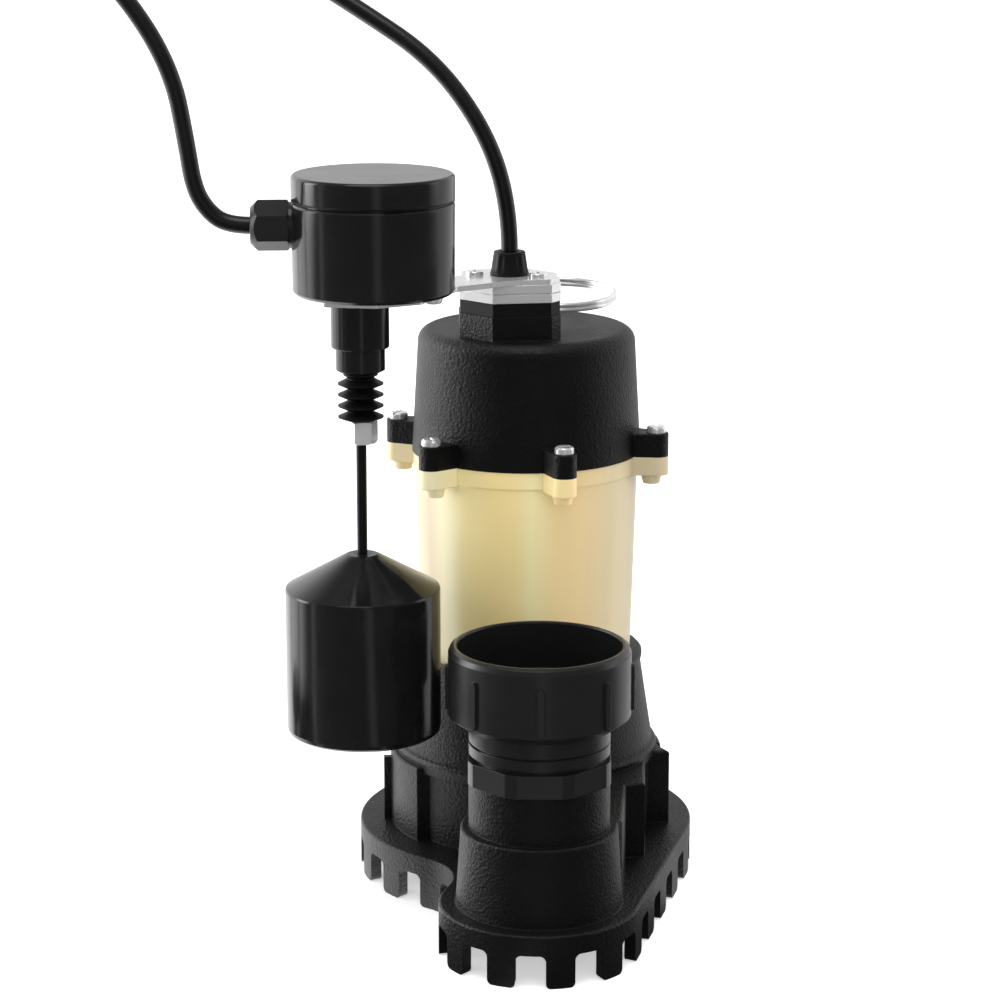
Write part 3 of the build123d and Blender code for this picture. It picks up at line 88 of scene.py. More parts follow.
# ---- shader workshop -------------------------------------------------------
class Sock:
    """Number socket on which Python arithmetic adds Math nodes."""

    def __init__(self, tree: "Tree", link: bpy.types.NodeSocket) -> None:
        """Keep the socket and the tree that it belongs to."""
        self.tree = tree
        self.link = link

    def _with(self, operation: str, first: Any, second: Any) -> "Sock":
        """Join two values with one Math node.

        Args:
            operation: Name of the Math node's operation.
            first: Socket or number on the left.
            second: Socket or number on the right.

        Returns:
            The result as a socket.
        """
        settings = {"operation": operation}
        node = self.tree.node("ShaderNodeMath", settings, {0: first, 1: second})
        return Sock(self.tree, node.outputs[0])

    def __add__(self, other: Any) -> "Sock":
        """Sum."""
        return self._with("ADD", self, other)

    def __radd__(self, other: Any) -> "Sock":
        """Sum with a number on the left."""
        return self._with("ADD", other, self)

    def __sub__(self, other: Any) -> "Sock":
        """Difference."""
        return self._with("SUBTRACT", self, other)

    def __rsub__(self, other: Any) -> "Sock":
        """Difference with a number on the left."""
        return self._with("SUBTRACT", other, self)

    def __mul__(self, other: Any) -> "Sock":
        """Product."""
        return self._with("MULTIPLY", self, other)

    def __rmul__(self, other: Any) -> "Sock":
        """Product with a number on the left."""
        return self._with("MULTIPLY", other, self)

    def angle(self, other: Any) -> "Sock":
        """Angle in radians whose tangent is this over the other."""
        return self._with("ARCTAN2", self, other)


class Tree:
    """Node tree of one material, with the shader node that it feeds."""

    def __init__(self, name: str) -> None:
        """Start an empty node material.

        Args:
            name: Name of the material.
        """
        self.material = bpy.data.materials.new(name)
        self.material.use_nodes = True
        self.tree = self.material.node_tree
        self.tree.nodes.clear()
        self.output = self.tree.nodes.new("ShaderNodeOutputMaterial")

    def node(
        self,
        kind: str,
        settings: dict[str, Any] | None = None,
        inputs: dict[Any, Any] | None = None,
    ) -> Any:
        """Add any node.

        Args:
            kind: The node's type.
            settings: Its properties, set first; "stops" fills a colour ramp.
            inputs: Values or links by socket name or number.

        Returns:
            The new node.
        """
        made = self.tree.nodes.new(kind)
        for key, value in (settings or {}).items():
            if key == "stops":
                self._fill_ramp(made.color_ramp, value)
            else:
                setattr(made, key, value)
        for key, value in (inputs or {}).items():
            self._feed(made.inputs[key], value)
        return made

    def _feed(self, socket: bpy.types.NodeSocket, value: Any) -> None:
        """Link or set one input socket.

        Args:
            socket: The socket to fill.
            value: A Sock, a node socket, a number, a colour or a vector.
        """
        if isinstance(value, Sock):
            self.tree.links.new(value.link, socket)
        elif isinstance(value, bpy.types.NodeSocket):
            self.tree.links.new(value, socket)
        else:
            socket.default_value = value

    @staticmethod
    def _fill_ramp(ramp: bpy.types.ColorRamp, stops: Sequence[tuple[float, Any]]) -> None:
        """Set the stops of a colour ramp.

        Args:
            ramp: The ramp.
            stops: Position and colour of each stop.
        """
        while len(ramp.elements) < len(stops):
            ramp.elements.new(0.5)
        for element, (position, colour) in zip(ramp.elements, stops):
            element.position = position
            element.color = (*colour, 1.0) if len(colour) == 3 else colour

    def place(self, stretch: Sequence[float] = (1.0, 1.0, 1.0)) -> bpy.types.NodeSocket:
        """Object coordinates in metres, stretched by axis.

        Args:
            stretch: Factor on each axis.

        Returns:
            The vector socket.
        """
        where = self.node("ShaderNodeTexCoord").outputs["Object"]
        mapping = self.node("ShaderNodeMapping", {}, {"Vector": where, "Scale": tuple(stretch)})
        return mapping.outputs["Vector"]

    def noise(
        self, scale: float, detail: float = 3.0, stretch: Sequence[float] = (1.0, 1.0, 1.0),
    ) -> Sock:
        """Noise value between 0 and 1.

        Args:
            scale: Features per metre.
            detail: Octaves.
            stretch: Factor on each axis.

        Returns:
            The noise as a socket.
        """
        inputs = {"Vector": self.place(stretch), "Scale": scale, "Detail": detail}
        node = self.node("ShaderNodeTexNoise", {}, inputs)
        return Sock(self, node.outputs["Fac"])

    def cells(self, scale: float) -> Sock:
        """Distance to the nearest cell centre, for grain and pits.

        Args:
            scale: Cells per metre.

        Returns:
            The distance as a socket.
        """
        node = self.node("ShaderNodeTexVoronoi", {}, {"Vector": self.place(), "Scale": scale})
        return Sock(self, node.outputs["Distance"])

    def ramp(self, value: Sock, stops: Sequence[tuple[float, Any]]) -> bpy.types.NodeSocket:
        """Colour from a value.

        Args:
            value: Value between 0 and 1.
            stops: Position and colour of each stop.

        Returns:
            The colour socket.
        """
        return self.node("ShaderNodeValToRGB", {"stops": stops}, {"Fac": value}).outputs["Color"]

    def mask(self, value: Sock, low: float, high: float) -> Sock:
        """Value stretched from low..high to 0..1 and kept inside it.

        Args:
            value: The value.
            low: Where the mask is 0.
            high: Where the mask is 1.

        Returns:
            The mask as a socket.
        """
        inputs = {"Value": value, "From Min": low, "From Max": high}
        node = self.node("ShaderNodeMapRange", {"clamp": True}, inputs)
        return Sock(self, node.outputs["Result"])

    def around(self, across: Sock, ahead: Sock) -> Sock:
        """Share of a turn about the upright axis, 0.5 straight ahead.

        Args:
            across: Distance to the right.
            ahead: Distance towards the front.

        Returns:
            The share of a turn as a socket.
        """
        return across.angle(ahead) * PER_RADIAN + 0.5

    def mix(self, share: Sock, first: Any, second: Any) -> bpy.types.NodeSocket:
        """Mix of two colours.

        Args:
            share: 0 for the first colour, 1 for the second.
            first: Colour or socket.
            second: Colour or socket.

        Returns:
            The colour socket.
        """
        plain = [
            (*colour, 1.0) if isinstance(colour, tuple) and len(colour) == 3 else colour
            for colour in (first, second)
        ]
        inputs = {0: share, 6: plain[0], 7: plain[1]}
        return self.node("ShaderNodeMix", {"data_type": "RGBA"}, inputs).outputs[2]

    def bump(
        self, height: Sock, depth: float, strength: float = 1.0, edge: float = 0.0,
    ) -> bpy.types.NodeSocket:
        """Surface direction from a height, with softened edges.

        Args:
            height: Height between 0 and 1.
            depth: Metres of relief for a height of 1.
            strength: Share of the relief.
            edge: Radius in metres over which sharp edges are rounded, 0 for none.

        Returns:
            The normal socket.
        """
        inputs: dict[Any, Any] = {"Height": height, "Distance": depth, "Strength": strength}
        if edge > 0:
            bevel = self.node("ShaderNodeBevel", {"samples": 4}, {"Radius": edge})
            inputs["Normal"] = bevel.outputs["Normal"]
        return self.node("ShaderNodeBump", {}, inputs).outputs["Normal"]

    def surface(self, inputs: dict[Any, Any]) -> bpy.types.Material:
        """Close the tree with a Principled shader.

        Args:
            inputs: Values or links of the shader.

        Returns:
            The material.
        """
        shader = self.node("ShaderNodeBsdfPrincipled", {}, inputs)
        self.tree.links.new(shader.outputs[0], self.output.inputs["Surface"])
        return self.material


# ---- finishes --------------------------------------------------------------
@dataclass(frozen=True)
class PowderCoat:
    """Black powder coat over a sand casting."""

    name: str
    base: Colour = (0.0012, 0.0012, 0.0014)
    dusty: Colour = (0.0024, 0.0024, 0.0026)
    gloss: float = 0.40
    level: float = 0.36
    grain_per_m: float = 820.0
    grain_depth: float = 0.00042
    pebble_ratio: float = 0.8
    relief: tuple[float, float, float] = (0.65, 0.5, 0.35)
    cloud_per_m: float = 38.0
    cloud_range: tuple[float, float] = (0.42, 0.68)
    dust_share: float = 0.6
    edge: float = 0.0009

    def material(self) -> bpy.types.Material:
        """Coat with cast grain, soft sheen and a little dust."""
        tree = Tree(self.name)
        fine = tree.noise(self.grain_per_m, 4.0)
        pebble = tree.cells(self.grain_per_m * self.pebble_ratio)
        wide = tree.noise(self.cloud_per_m)
        cloud = tree.mask(wide, *self.cloud_range)
        height = fine * self.relief[0] + pebble * self.relief[1] + wide * self.relief[2]
        return tree.surface({
            "Base Color": tree.mix(cloud * self.dust_share, self.base, self.dusty),
            "Roughness": self.gloss + fine * 0.12 + cloud * 0.05,
            "Specular IOR Level": self.level,
            "Normal": tree.bump(height, self.grain_depth, 1.0, self.edge),
        })


@dataclass(frozen=True)
class GoldCoat:
    """Pale gold satin enamel of the motor shell, with painted light: its colour is laid in lighter
    and darker upright bands by the angle round the shell, standing in for reflections and shade.
    """

    name: str
    pale: Colour = (0.95, 0.82, 0.50)
    rough: float = 0.36
    metallic: float = 0.15
    coat: float = 0.28
    coat_rough: float = 0.16
    level: float = 0.5
    streaks_per_m: float = 60.0
    flakes_per_m: float = 4200.0
    peel_per_m: float = 420.0
    peel_depth: float = 0.00007
    edge: float = 0.0008
    # Painted light: colour by angle round the shell, pale where lamp reflections fall and dark
    # where shade falls.
    painted_light_bands: tuple[tuple[float, Colour], ...] = (
        (-180.0, (0.86, 0.70, 0.36)), (-85.0, (0.80, 0.68, 0.42)), (-63.0, (0.67, 0.56, 0.36)),
        (-52.0, (0.93, 0.84, 0.56)), (-46.0, (0.97, 0.90, 0.58)), (-36.0, (0.98, 0.83, 0.41)),
        (-18.0, (0.98, 0.78, 0.34)), (-8.0, (0.98, 0.80, 0.37)), (0.0, (0.99, 0.89, 0.47)),
        (13.0, (0.95, 0.73, 0.35)), (27.0, (0.88, 0.67, 0.35)), (44.0, (0.70, 0.58, 0.35)),
        (71.0, (0.56, 0.48, 0.31)), (100.0, (0.75, 0.62, 0.36)), (180.0, (0.86, 0.70, 0.36)),
    )

    def material(self) -> bpy.types.Material:
        """Metallic satin coat with painted highlight and shade bands, faint streaks and orange
        peel.
        """
        tree = Tree(self.name)
        split = tree.node("ShaderNodeSeparateXYZ", {}, {"Vector": tree.place()})
        ahead = 0.0 - Sock(tree, split.outputs["Y"])
        around = tree.around(Sock(tree, split.outputs["X"]), ahead)
        # Painted highlights and shade: base colour taken from the angle round the shell.
        painted_light_band = tree.ramp(around, [(0.5 + deg / 360.0, tone) for deg, tone in self.painted_light_bands])
        streak = tree.noise(self.streaks_per_m, 2.0, (1.0, 1.0, 0.12))
        flake = tree.noise(self.flakes_per_m, 1.0)
        peel = tree.noise(self.peel_per_m, 2.0)
        tone = tree.mask(streak, 0.35, 0.7)
        return tree.surface({
            "Base Color": tree.mix(tone * 0.12, painted_light_band, self.pale),
            "Metallic": self.metallic,
            "Roughness": self.rough + tone * 0.04 + flake * 0.06,
            "Coat Weight": self.coat,
            "Coat Roughness": self.coat_rough,
            "Specular IOR Level": self.level,
            "Normal": tree.bump(peel * 0.7 + flake * 0.15, self.peel_depth, 0.5, self.edge),
        })


@dataclass(frozen=True)
class Moulding:
    """Injection-moulded black plastic."""

    name: str
    base: Colour = (0.0060, 0.0060, 0.0064)
    rough: float = 0.12
    level: float = 0.40
    ripple: float = 0.00005
    edge: float = 0.0006
    hazy: Colour = (0.0105, 0.0105, 0.0108)
    flow_per_m: float = 24.0
    skin_per_m: float = 1500.0
    haze_per_m: float = 55.0

    def material(self) -> bpy.types.Material:
        """Moulded skin with slight flow marks and handling haze."""
        tree = Tree(self.name)
        flow = tree.noise(self.flow_per_m, 2.0, (1.0, 1.0, 0.35))
        skin = tree.noise(self.skin_per_m, 2.0)
        haze = tree.mask(tree.noise(self.haze_per_m, 4.0), 0.45, 0.75)
        return tree.surface({
            "Base Color": tree.mix(haze * 0.35, self.base, self.hazy),
            "Roughness": self.rough + haze * 0.06 + skin * 0.03,
            "Specular IOR Level": self.level,
            "Normal": tree.bump(flow * 0.8 + skin * 0.12, self.ripple, 0.6, self.edge),
        })


@dataclass(frozen=True)
class Metal:
    """Bare metal, drawn, turned or polished."""

    name: str
    base: Colour = (0.70, 0.70, 0.71)
    dull: Colour = (0.45, 0.45, 0.46)
    rough: float = 0.20
    grain: Grain = Grain.NONE
    grain_per_m: float = 700.0
    metallic: float = 1.0
    stains_per_m: float = 120.0
    scratch_depth: float = 0.00003
    edge: float = 0.0004

    def material(self) -> bpy.types.Material:
        """Metal with scratches along its grain and slight staining."""
        tree = Tree(self.name)
        line = tree.noise(self.grain_per_m, 3.0, self.grain.value)
        stain = tree.mask(tree.noise(self.stains_per_m, 4.0), 0.5, 0.8)
        return tree.surface({
            "Base Color": tree.mix(stain * 0.5, self.base, self.dull),
            "Metallic": self.metallic,
            "Roughness": self.rough + stain * 0.12 + line * 0.10,
            "Normal": tree.bump(line, self.scratch_depth, 0.5, self.edge),
        })


@dataclass(frozen=True)
class Rubber:
    """Matt or satin black rubber."""

    name: str
    base: Colour = (0.0025, 0.0025, 0.0028)
    bloom: Colour = (0.006, 0.006, 0.0064)
    rough: float = 0.46
    level: float = 0.28
    grain_per_m: float = 1800.0
    grain_depth: float = 0.00005
    bloom_per_m: float = 90.0
    edge: float = 0.0004

    def material(self) -> bpy.types.Material:
        """Rubber with fine grain and a faint grey bloom."""
        tree = Tree(self.name)
        grain = tree.noise(self.grain_per_m, 3.0)
        bloom = tree.mask(tree.noise(self.bloom_per_m, 4.0), 0.45, 0.8)
        return tree.surface({
            "Base Color": tree.mix(bloom * 0.4, self.base, self.bloom),
            "Roughness": self.rough + bloom * 0.08 + grain * 0.06,
            "Specular IOR Level": self.level,
            "Normal": tree.bump(grain, self.grain_depth, 0.5, self.edge),
        })


@dataclass(frozen=True)
class Stack:
    """Pressed electrical sheets, seen as fine rings."""

    name: str
    steel: Colour = (0.23, 0.24, 0.26)
    rusty: Colour = (0.16, 0.09, 0.05)
    sheets_per_m: float = 1300.0
    sheet_depth: float = 0.0001
    rust_per_m: float = 70.0

    def material(self) -> bpy.types.Material:
        """Steel with one dark line per sheet."""
        tree = Tree(self.name)
        inputs = {"Vector": tree.place(), "Scale": self.sheets_per_m / 20}
        wave = tree.node("ShaderNodeTexWave", {"bands_direction": "Z"}, inputs)
        line = Sock(tree, wave.outputs["Fac"])
        rust = tree.mask(tree.noise(self.rust_per_m, 4.0), 0.55, 0.8)
        return tree.surface({
            "Base Color": tree.mix(rust * 0.4, self.steel, self.rusty),
            "Metallic": 0.9,
            "Roughness": 0.4 + rust * 0.2,
            "Normal": tree.bump(line, self.sheet_depth, 0.6),
        })


@dataclass(frozen=True)
class Flags:
    """Ring of flags and strips that only shiny parts see, by the angle from the front."""

    ring: tuple[tuple[float, float], ...] = (
        (-180.0, 0.75), (-138.0, 2.2), (-101.0, 2.4), (-90.0, 0.40), (-83.0, 0.26), (-79.0, 1.2),
        (-73.0, 0.24), (-50.0, 0.11), (-5.0, 0.09), (4.0, 0.62), (11.0, 0.09), (44.0, 0.08),
        (76.0, 0.11), (94.0, 0.20), (106.0, 0.9), (135.0, 1.0), (180.0, 0.75),
    )
    peak: float = 2.5

    def colour(self, tree: Tree, across: Sock, ahead: Sock) -> bpy.types.NodeSocket:
        """Grey of the ring for a place or a direction, over the peak.

        Args:
            tree: The tree to build in.
            across: Distance to the right.
            ahead: Distance towards the front.

        Returns:
            The colour socket.
        """
        around = tree.around(across, ahead)
        shades = [(0.5 + deg / 360.0, grey / self.peak) for deg, grey in self.ring]
        return tree.ramp(around, [(at, (grey, grey, grey)) for at, grey in shades])


@dataclass(frozen=True)
class Floor:
    """Seamless pale studio paper with the ring of flags."""

    name: str
    shade: Colour = (0.86, 0.86, 0.86)
    flags: Flags = Flags()
    middle: tuple[float, float] = (-0.02, -0.08)
    fill: float = 0.45

    def material(self) -> bpy.types.Material:
        """Matt paper with a trace of tooth, and the ring of flags for reflections."""
        tree = Tree(self.name)
        tooth = tree.noise(300.0, 2.0)
        paper = tree.node("ShaderNodeBsdfDiffuse", {}, {
            "Color": (*self.shade, 1.0), "Roughness": 0.9, "Normal": tree.bump(tooth, 0.0001, 0.1),
        })
        split = tree.node("ShaderNodeSeparateXYZ", {}, {"Vector": tree.place()})
        across = Sock(tree, split.outputs["X"]) - self.middle[0]
        ahead = self.middle[1] - Sock(tree, split.outputs["Y"])
        grey = self.flags.colour(tree, across, ahead)
        flags = tree.node("ShaderNodeEmission", {}, {"Color": grey, "Strength": self.flags.peak})
        path = tree.node("ShaderNodeLightPath")
        glow = tree.node("ShaderNodeEmission", {}, {
            "Color": WHITE, "Strength": Sock(tree, path.outputs["Is Camera Ray"]) * self.fill,
        })
        lit = tree.node("ShaderNodeAddShader", {}, {0: paper.outputs[0], 1: glow.outputs[0]})
        both = tree.node("ShaderNodeMixShader", {}, {
            0: path.outputs["Is Glossy Ray"], 1: lit.outputs[0], 2: flags.outputs[0],
        })
        tree.tree.links.new(both.outputs[0], tree.output.inputs["Surface"])
        return tree.material


class Surround(Tree):
    """White surround; shiny parts see the flags low down and a dimmer white above."""

    FLAG_TOP = 0.45
    WHITE_FROM = 0.8

    def __init__(self, flags: Flags, white: float, seen_white: float) -> None:
        """Fill the world's tree.

        Args:
            flags: The ring of flags.
            white: Strength for everything but reflections.
            seen_white: Strength that reflections see above the flags.
        """
        world = bpy.data.worlds.new("studio_surround")
        bpy.context.scene.world = world
        world.use_nodes = True
        self.tree = world.node_tree
        self.tree.nodes.clear()
        self.output = self.tree.nodes.new("ShaderNodeOutputWorld")
        where = self.node("ShaderNodeTexCoord").outputs["Generated"]
        split = self.node("ShaderNodeSeparateXYZ", {}, {"Vector": where})
        ahead = 0.0 - Sock(self, split.outputs["Y"])
        ring = flags.colour(self, Sock(self, split.outputs["X"]), ahead)
        above = self.mask(Sock(self, split.outputs["Z"]), self.FLAG_TOP, self.WHITE_FROM)
        shade = seen_white / flags.peak
        seen = self.mix(above, ring, (shade, shade, shade))
        plain = self.node("ShaderNodeBackground", {}, {"Color": WHITE, "Strength": white})
        mirror = self.node("ShaderNodeBackground", {}, {"Color": seen, "Strength": flags.peak})
        glossy = self.node("ShaderNodeLightPath").outputs["Is Glossy Ray"]
        both = self.node("ShaderNodeMixShader", {}, {
            0: glossy, 1: plain.outputs[0], 2: mirror.outputs[0],
        })
        self.tree.links.new(both.outputs[0], self.output.inputs["Surface"])


class Finishes:
    """All finishes of the pump, made once and handed out by slot."""

    def __init__(self) -> None:
        """Make every material."""
        makers = {
            "cast_black": PowderCoat("cast_black_coat"),
            "gold_coat": GoldCoat("gold_satin_coat"),
            "stainless": Metal(
                "stainless_bright", (0.87, 0.87, 0.88), (0.80, 0.80, 0.81), 0.15, metallic=0.72,
            ),
            "steel": Metal(
                "steel_turned", (0.52, 0.52, 0.54), (0.3, 0.3, 0.31), 0.26, Grain.ROUND,
            ),
            "lamination": Stack("lamination_stack"),
            "copper": Metal(
                "copper_wire", (0.72, 0.33, 0.16), (0.45, 0.17, 0.08), 0.28, Grain.ROUND, 900.0,
            ),
            "aluminium": Metal("aluminium_satin", (0.75, 0.76, 0.78), (0.5, 0.51, 0.53), 0.3),
            "rubber": Rubber("rubber_matt"),
            "ceramic": Moulding("ceramic_lapped", (0.72, 0.71, 0.66), 0.22),
            "gloss_black": Moulding("plastic_gloss"),
            "black_plastic": Moulding(
                "plastic_satin", (0.0085, 0.0085, 0.0090), 0.28, ripple=0.00006,
            ),
            "black_rod": Metal(
                "rod_black", (0.045, 0.045, 0.048), (0.02, 0.02, 0.02), 0.3, Grain.UPRIGHT,
            ),
            "cord_rubber": Rubber("cord_jacket", rough=0.30, level=0.5, grain_per_m=900.0),
        }
        self.by_slot = {slot: maker.material() for slot, maker in makers.items()}

    def dress(self, piece: bpy.types.Object, slot: str) -> None:
        """Give a piece its finish.

        Args:
            piece: The piece.
            slot: Record slot of the finish.
        """
        piece.data.materials.clear()
        piece.data.materials.append(self.by_slot[slot])


# ---- the studio ------------------------------------------------------------
@dataclass(frozen=True)
class Panel:
    """One soft panel light."""

    name: str
    at: Point
    size: tuple[float, float]
    watts: float

    def hang(self, target: Point) -> None:
        """Hang the panel.

        Args:
            target: Where it points.
        """
        data = bpy.data.lights.new(self.name, "AREA")
        data.shape = "RECTANGLE"
        data.size, data.size_y = self.size
        data.energy = self.watts
        light = bpy.data.objects.new(self.name, data)
        light.location = self.at
        aim = Vector(target) - Vector(self.at)
        light.rotation_euler = aim.to_track_quat("-Z", "Y").to_euler()
        bpy.context.scene.collection.objects.link(light)


@dataclass
class Studio:
    """Camera, floor and lights."""

    eye: Point = (-0.0769, -1.4633, 0.54224)
    heading_deg: float = 2.51
    pitch_deg: float = 13.67
    lens_mm: float = 111.24
    sensor_mm: float = 36.0
    clip_end: float = 200.0
    floor_half: float = 40.0
    floor_drop: float = 0.0002
    world_white: float = 1.12
    seen_white: float = 0.32
    aim: Point = (0.0, -0.03, 0.2)
    panels: tuple[Panel, ...] = (
        Panel("panel_left", (-1.9, 0.3, 0.65), (0.8, 1.2), 16.0),
        Panel("panel_right", (1.8, 0.1, 0.65), (0.6, 1.2), 2.5),
        Panel("panel_top", (-0.2, -0.5, 1.9), (1.1, 0.9), 9.0),
    )

    def camera(self) -> bpy.types.Object:
        """Set the scene's camera.

        Returns:
            The camera.
        """
        data = bpy.data.cameras.new("studio_camera")
        data.lens = self.lens_mm
        data.sensor_width = self.sensor_mm
        data.clip_end = self.clip_end
        camera = bpy.data.objects.new("studio_camera", data)
        camera.location = self.eye
        tilt = math.radians(90 - self.pitch_deg)
        camera.rotation_euler = (tilt, 0.0, -math.radians(self.heading_deg))
        bpy.context.scene.collection.objects.link(camera)
        bpy.context.scene.camera = camera
        return camera

    def floor(self) -> bpy.types.Object:
        """Lay the floor.

        Returns:
            The floor.
        """
        half = self.floor_half
        mesh = bpy.data.meshes.new("floor")
        corners = [(-half, -half, 0), (half, -half, 0), (half, half, 0), (-half, half, 0)]
        mesh.from_pydata(corners, [], [(0, 1, 2, 3)])
        floor = bpy.data.objects.new("floor", mesh)
        bpy.context.scene.collection.objects.link(floor)
        floor.data.materials.append(Floor("studio_paper").material())
        floor.location.z = -self.floor_drop
        return floor

    def lights(self) -> None:
        """Hang the panels and set the surround."""
        for panel in self.panels:
            panel.hang(self.aim)
        Surround(Flags(), self.world_white, self.seen_white)
        bpy.context.scene.view_settings.view_transform = "Standard"

    def build(self) -> None:
        """Make the whole studio."""
        self.camera()
        self.floor()
        self.lights()
        LOG.info("studio: camera, floor, surround and %d panels", len(self.panels))


# ---- mesh workshop ---------------------------------------------------------
def add_piece(
    name: str, vertices: Sequence[Point], faces: Sequence[Sequence[int]],
) -> bpy.types.Object:
    """Make a smooth mesh piece and link it.

    Args:
        name: Name of the piece.
        vertices: Points in metres.
        faces: Corner numbers of each face.

    Returns:
        The piece.
    """
    mesh = bpy.data.meshes.new(name)
    mesh.from_pydata([tuple(v) for v in vertices], [], [tuple(f) for f in faces])
    mesh.validate()
    book = bmesh.new()
    book.from_mesh(mesh)
    bmesh.ops.recalc_face_normals(book, faces=book.faces)
    book.to_mesh(mesh)
    book.free()
    for polygon in mesh.polygons:
        polygon.use_smooth = True
    piece = bpy.data.objects.new(name, mesh)
    bpy.context.scene.collection.objects.link(piece)
    return piece


def lathe(
    name: str, outline: Sequence[tuple[float, float]], at: tuple[float, float], around: int = 96,
    flutes: int = 0, flute_depth: float = 0.0, flute_rows: Sequence[int] = (),
) -> bpy.types.Object:
    """Turn an outline about an upright axis.

    Args:
        name: Name of the piece.
        outline: Radius and height of each ring, in mm, closed onto itself.
        at: Axis in plan, in mm.
        around: Corners round the axis.
        flutes: Number of upright flutes.
        flute_depth: Depth of a flute in mm.
        flute_rows: Rings that the flutes cut.

    Returns:
        The piece.
    """
    vertices: list[Point] = []
    faces: list[tuple[int, ...]] = []
    rows = len(outline)
    for k in range(around):
        turn = 2 * math.pi * k / around
        for row, (radius, height) in enumerate(outline):
            depth = flute_depth if row in flute_rows else 0.0
            reach = radius - depth * (0.5 + 0.5 * math.cos(flutes * turn))
            across, along = at[0] + reach * math.cos(turn), at[1] + reach * math.sin(turn)
            vertices.append((across * MM, along * MM, height * MM))
    for k in range(around):
        here, after = k * rows, ((k + 1) % around) * rows
        for row in range(rows):
            following = (row + 1) % rows
            faces.append((here + row, after + row, after + following, here + following))
    return add_piece(name, vertices, faces)


# ---- mains leads -----------------------------------------------------------
@dataclass
class MainsLead:
    """One mains lead: the free run, its put-away coil and the tail."""

    side: Side
    route: Sequence[Point]
    centre: tuple[float, float]
    length_m: float
    diameter: float = 8.0
    columns: tuple[float, float] = (44.0, 52.0)
    layers: tuple[float, float, float] = (5.2, 13.3, 21.4)
    per_turn: int = 20
    change_deg: float = 30.0
    first_change_deg: float = 300.0
    turn_deg: float = 1969.0
    tail: Sequence[Point] = (
        (-51.5, -10.0, 22.6), (-51.5, 11.5, 27.0), (-40.7, 30.1, 31.0), (-22.1, 40.9, 35.0),
        (-0.6, 40.9, 37.2),
    )

    def berth(self, angle: float) -> tuple[float, float]:
        """Radius and height of the cord at an angle round the coil.

        Args:
            angle: Degrees wound so far.

        Returns:
            Radius from the coil's axis and height, in mm.
        """
        near, far = self.columns
        low, middle, high = self.layers
        berths = [
            (far, middle), (far, low), (near, low), (near, middle), (near, high), (far, high),
        ]
        here = berths[0]
        for number, after in enumerate(berths[1:]):
            start = self.first_change_deg + number * (360.0 - self.change_deg)
            share = min(max((angle - start) / self.change_deg, 0.0), 1.0)
            share = share * share * (3 - 2 * share)
            here = (here[0] + (after[0] - here[0]) * share, here[1] + (after[1] - here[1]) * share)
        return here

    def coil(self) -> list[Point]:
        """Control points of the turns, clockwise from above."""
        step = 360.0 / self.per_turn
        points = []
        for number in range(1, int(self.turn_deg / step) + 1):
            angle = number * step
            radius, height = self.berth(angle)
            turn = -math.radians(angle)
            across = self.centre[0] + radius * math.cos(turn)
            along = self.centre[1] + radius * math.sin(turn)
            points.append((across, along, height))
        return points

    def build(self, finishes: Finishes) -> bpy.types.Object:
        """Lay the lead on its route and dress it.

        Args:
            finishes: The finishes.

        Returns:
            The lead.
        """
        name = self.side.value
        tail = [(self.centre[0] + x, self.centre[1] + y, z) for x, y, z in self.tail]
        points = [*self.route, *self.coil(), *tail]
        data = bpy.data.curves.new(f"{name}_lead", "CURVE")
        data.dimensions = "3D"
        data.bevel_depth = self.diameter / 2 * MM
        data.bevel_resolution = 6
        data.resolution_u = 8
        data.use_fill_caps = True
        spline = data.splines.new("NURBS")
        spline.points.add(len(points) - 1)
        for place, point in zip(spline.points, points):
            place.co = (*[value * MM for value in point], 1.0)
        spline.order_u = 3
        spline.use_endpoint_u = True
        lead = bpy.data.objects.new(f"{name}_lead", data)
        bpy.context.scene.collection.objects.link(lead)
        finishes.dress(lead, "cord_rubber")
        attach(lead, "pump")
        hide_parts(f"{name}_cord", f"{name}_coil", f"{name}_tail")
        LOG.info("%s lead: %d points", name, len(points))
        return lead


PUMP_ROUTE: tuple[Point, ...] = (
    (-9.2, -21.5, 312.2), (-9.3, -21.5, 333.6), (-19.9, -18.6, 367.8), (-43.9, -10.2, 400.7),
    (-78.8, 0.5, 423.6), (-121.0, 14.0, 449.0), (-176.1, 34.0, 462.0), (-235.5, 56.0, 455.0),
    (-277.5, 73.0, 424.5), (-294.9, 82.5, 380.0), (-298.5, 88.5, 324.0), (-295.5, 91.5, 267.0),
    (-298.0, 92.0, 210.0), (-295.5, 93.6, 153.0), (-297.2, 92.4, 98.0), (-296.0, 94.0, 52.0),
    (-296.4, 82.0, 28.5), (-296.0, 56.0, 14.6), (-296.0, 27.5, 13.2),
)
SWITCH_ROUTE: tuple[Point, ...] = (
    (-129.0, -72.6, 332.7), (-138.9, -72.4, 332.9), (-147.6, -72.0, 338.6), (-154.1, -71.6, 349.4),
    (-157.2, -70.4, 371.0), (-162.6, -68.0, 400.6), (-178.8, -64.0, 429.6), (-207.2, -58.0, 461.0),
    (-253.5, -48.0, 474.0), (-288.9, -36.0, 449.0), (-296.5, -28.0, 402.0), (-299.0, -23.0, 347.0),
    (-296.0, -21.5, 290.0), (-298.6, -22.6, 233.0), (-296.2, -20.6, 176.0), (-298.0, -22.0, 119.0),
    (-296.4, -20.8, 84.0), (-296.2, -21.8, 52.0), (-296.4, -33.5, 28.5), (-296.0, -59.0, 14.6),
    (-296.0, -87.5, 13.2),
)


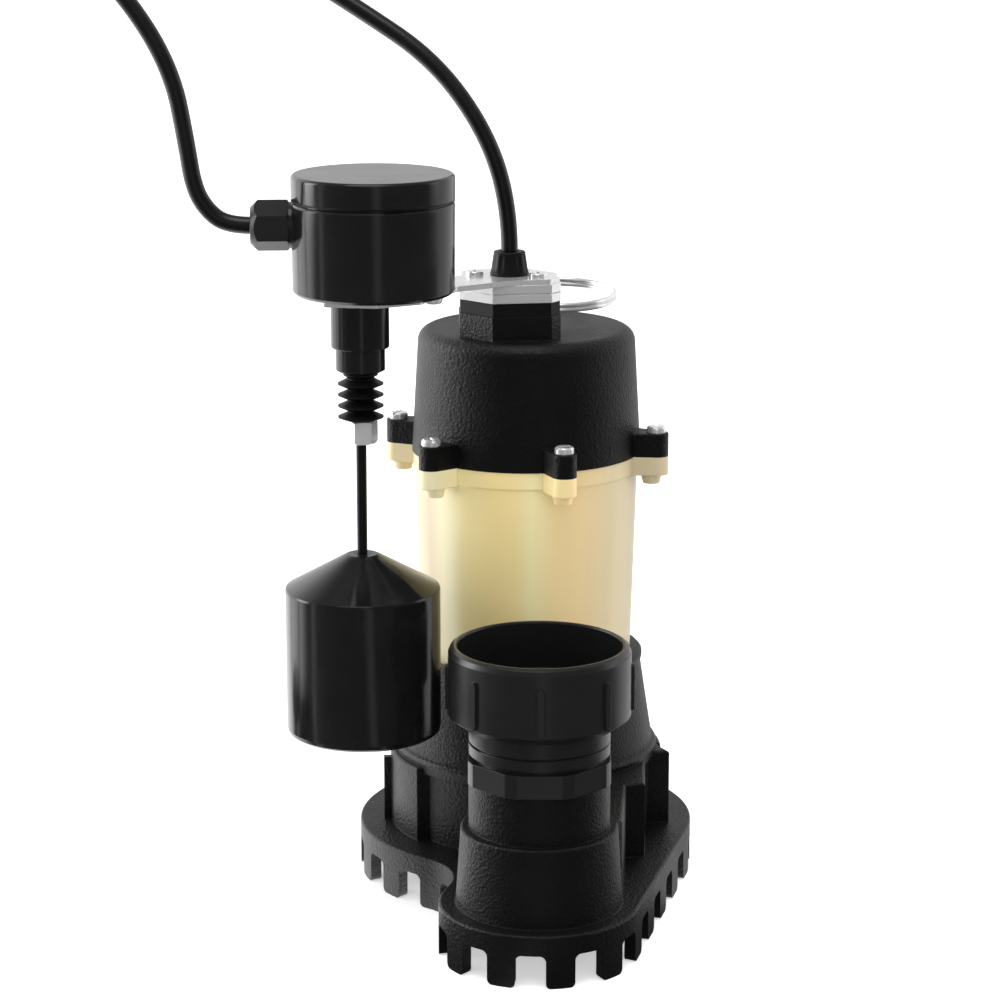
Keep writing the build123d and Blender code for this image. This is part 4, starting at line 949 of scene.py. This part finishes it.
@dataclass
class Leads:
    """Both mains leads."""

    pump: MainsLead = field(
        default_factory=lambda: MainsLead(Side.PUMP, PUMP_ROUTE, (-348.0, 26.5), 2.55)
    )
    switch: MainsLead = field(
        default_factory=lambda: MainsLead(Side.SWITCH, SWITCH_ROUTE, (-348.0, -88.5), 2.45)
    )

    def build(self, frame: dict[str, Any], finishes: Finishes) -> None:
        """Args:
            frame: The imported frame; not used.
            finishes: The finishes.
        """
        pump = self.pump.build(finishes)
        switch = self.switch.build(finishes)


# ---- carried-over parts ----------------------------------------------------
@dataclass
class StrainRelief:
    """Moulded rubber cone on the pump's cord, over the clamp plate."""

    axis: tuple[float, float] = (-9.2, -21.5)
    foot_z: float = 267.4
    plate_z: float = 300.9
    top_z: float = 312.1
    core_r: float = 8.9
    foot_r: float = 9.2
    top_r: float = 7.5
    bore_r: float = 4.05
    corners: int = 144
    flutes: int = 12
    flute_depth: float = 0.4
    flute_rows: tuple[int, ...] = (7, 8, 9, 10, 11)

    def build(self, finishes: Finishes) -> bpy.types.Object:
        """Turn the cone, its lip and its shallow flutes.

        Args:
            finishes: The finishes.

        Returns:
            The strain relief.
        """
        z0, z1 = self.plate_z, self.top_z
        lean = (self.foot_r - self.top_r) / (z1 - z0)
        outline = [
            (self.bore_r, self.foot_z), (self.core_r, self.foot_z), (self.core_r, z0 + 0.05),
            (self.foot_r, z0 + 0.1), (self.foot_r, z0 + 0.9), (self.foot_r - 0.35, z0 + 1.2),
        ]
        steps = len(self.flute_rows)
        for step in range(steps + 1):
            z = z0 + 1.6 + (z1 - z0 - 3.2) * step / steps
            outline.append((self.foot_r - lean * (z - z0), z))
        outline += [
            (self.top_r + 0.05, z1 - 1.1), (self.top_r, z1 - 0.5), (self.top_r - 0.25, z1 - 0.15),
            (self.top_r - 0.7, z1), (self.bore_r + 0.9, z1), (self.bore_r + 0.3, z1 - 0.25),
            (self.bore_r, z1 - 0.8),
        ]
        piece = lathe(
            "strain_relief_cone", outline, self.axis, self.corners, self.flutes, self.flute_depth,
            self.flute_rows,
        )
        finishes.dress(piece, "rubber")
        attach(piece, "pump")
        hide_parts("strain_relief")
        return piece


class Castings:
    """Base, motor shell, cap and everything hidden inside them."""

    def build(self, frame: dict[str, Any], finishes: Finishes) -> None:
        """Dress every node of the record in its slot's finish.

        Args:
            frame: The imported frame.
            finishes: The finishes.
        """
        for part in frame["record"]["subparts"]:
            finishes.dress(frame["nodes"][part["node"]], part["material_slot"])


def main() -> None:
    """Build the studio, the leads and every sub-assembly."""
    logging.basicConfig(level=logging.INFO, format="%(name)s: %(message)s")
    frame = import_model()
    Studio().build()
    finishes = Finishes()
    Castings().build(frame, finishes)
    Leads().build(frame, finishes)
    StrainRelief().build(finishes)


if __name__ == "__main__":
    main()
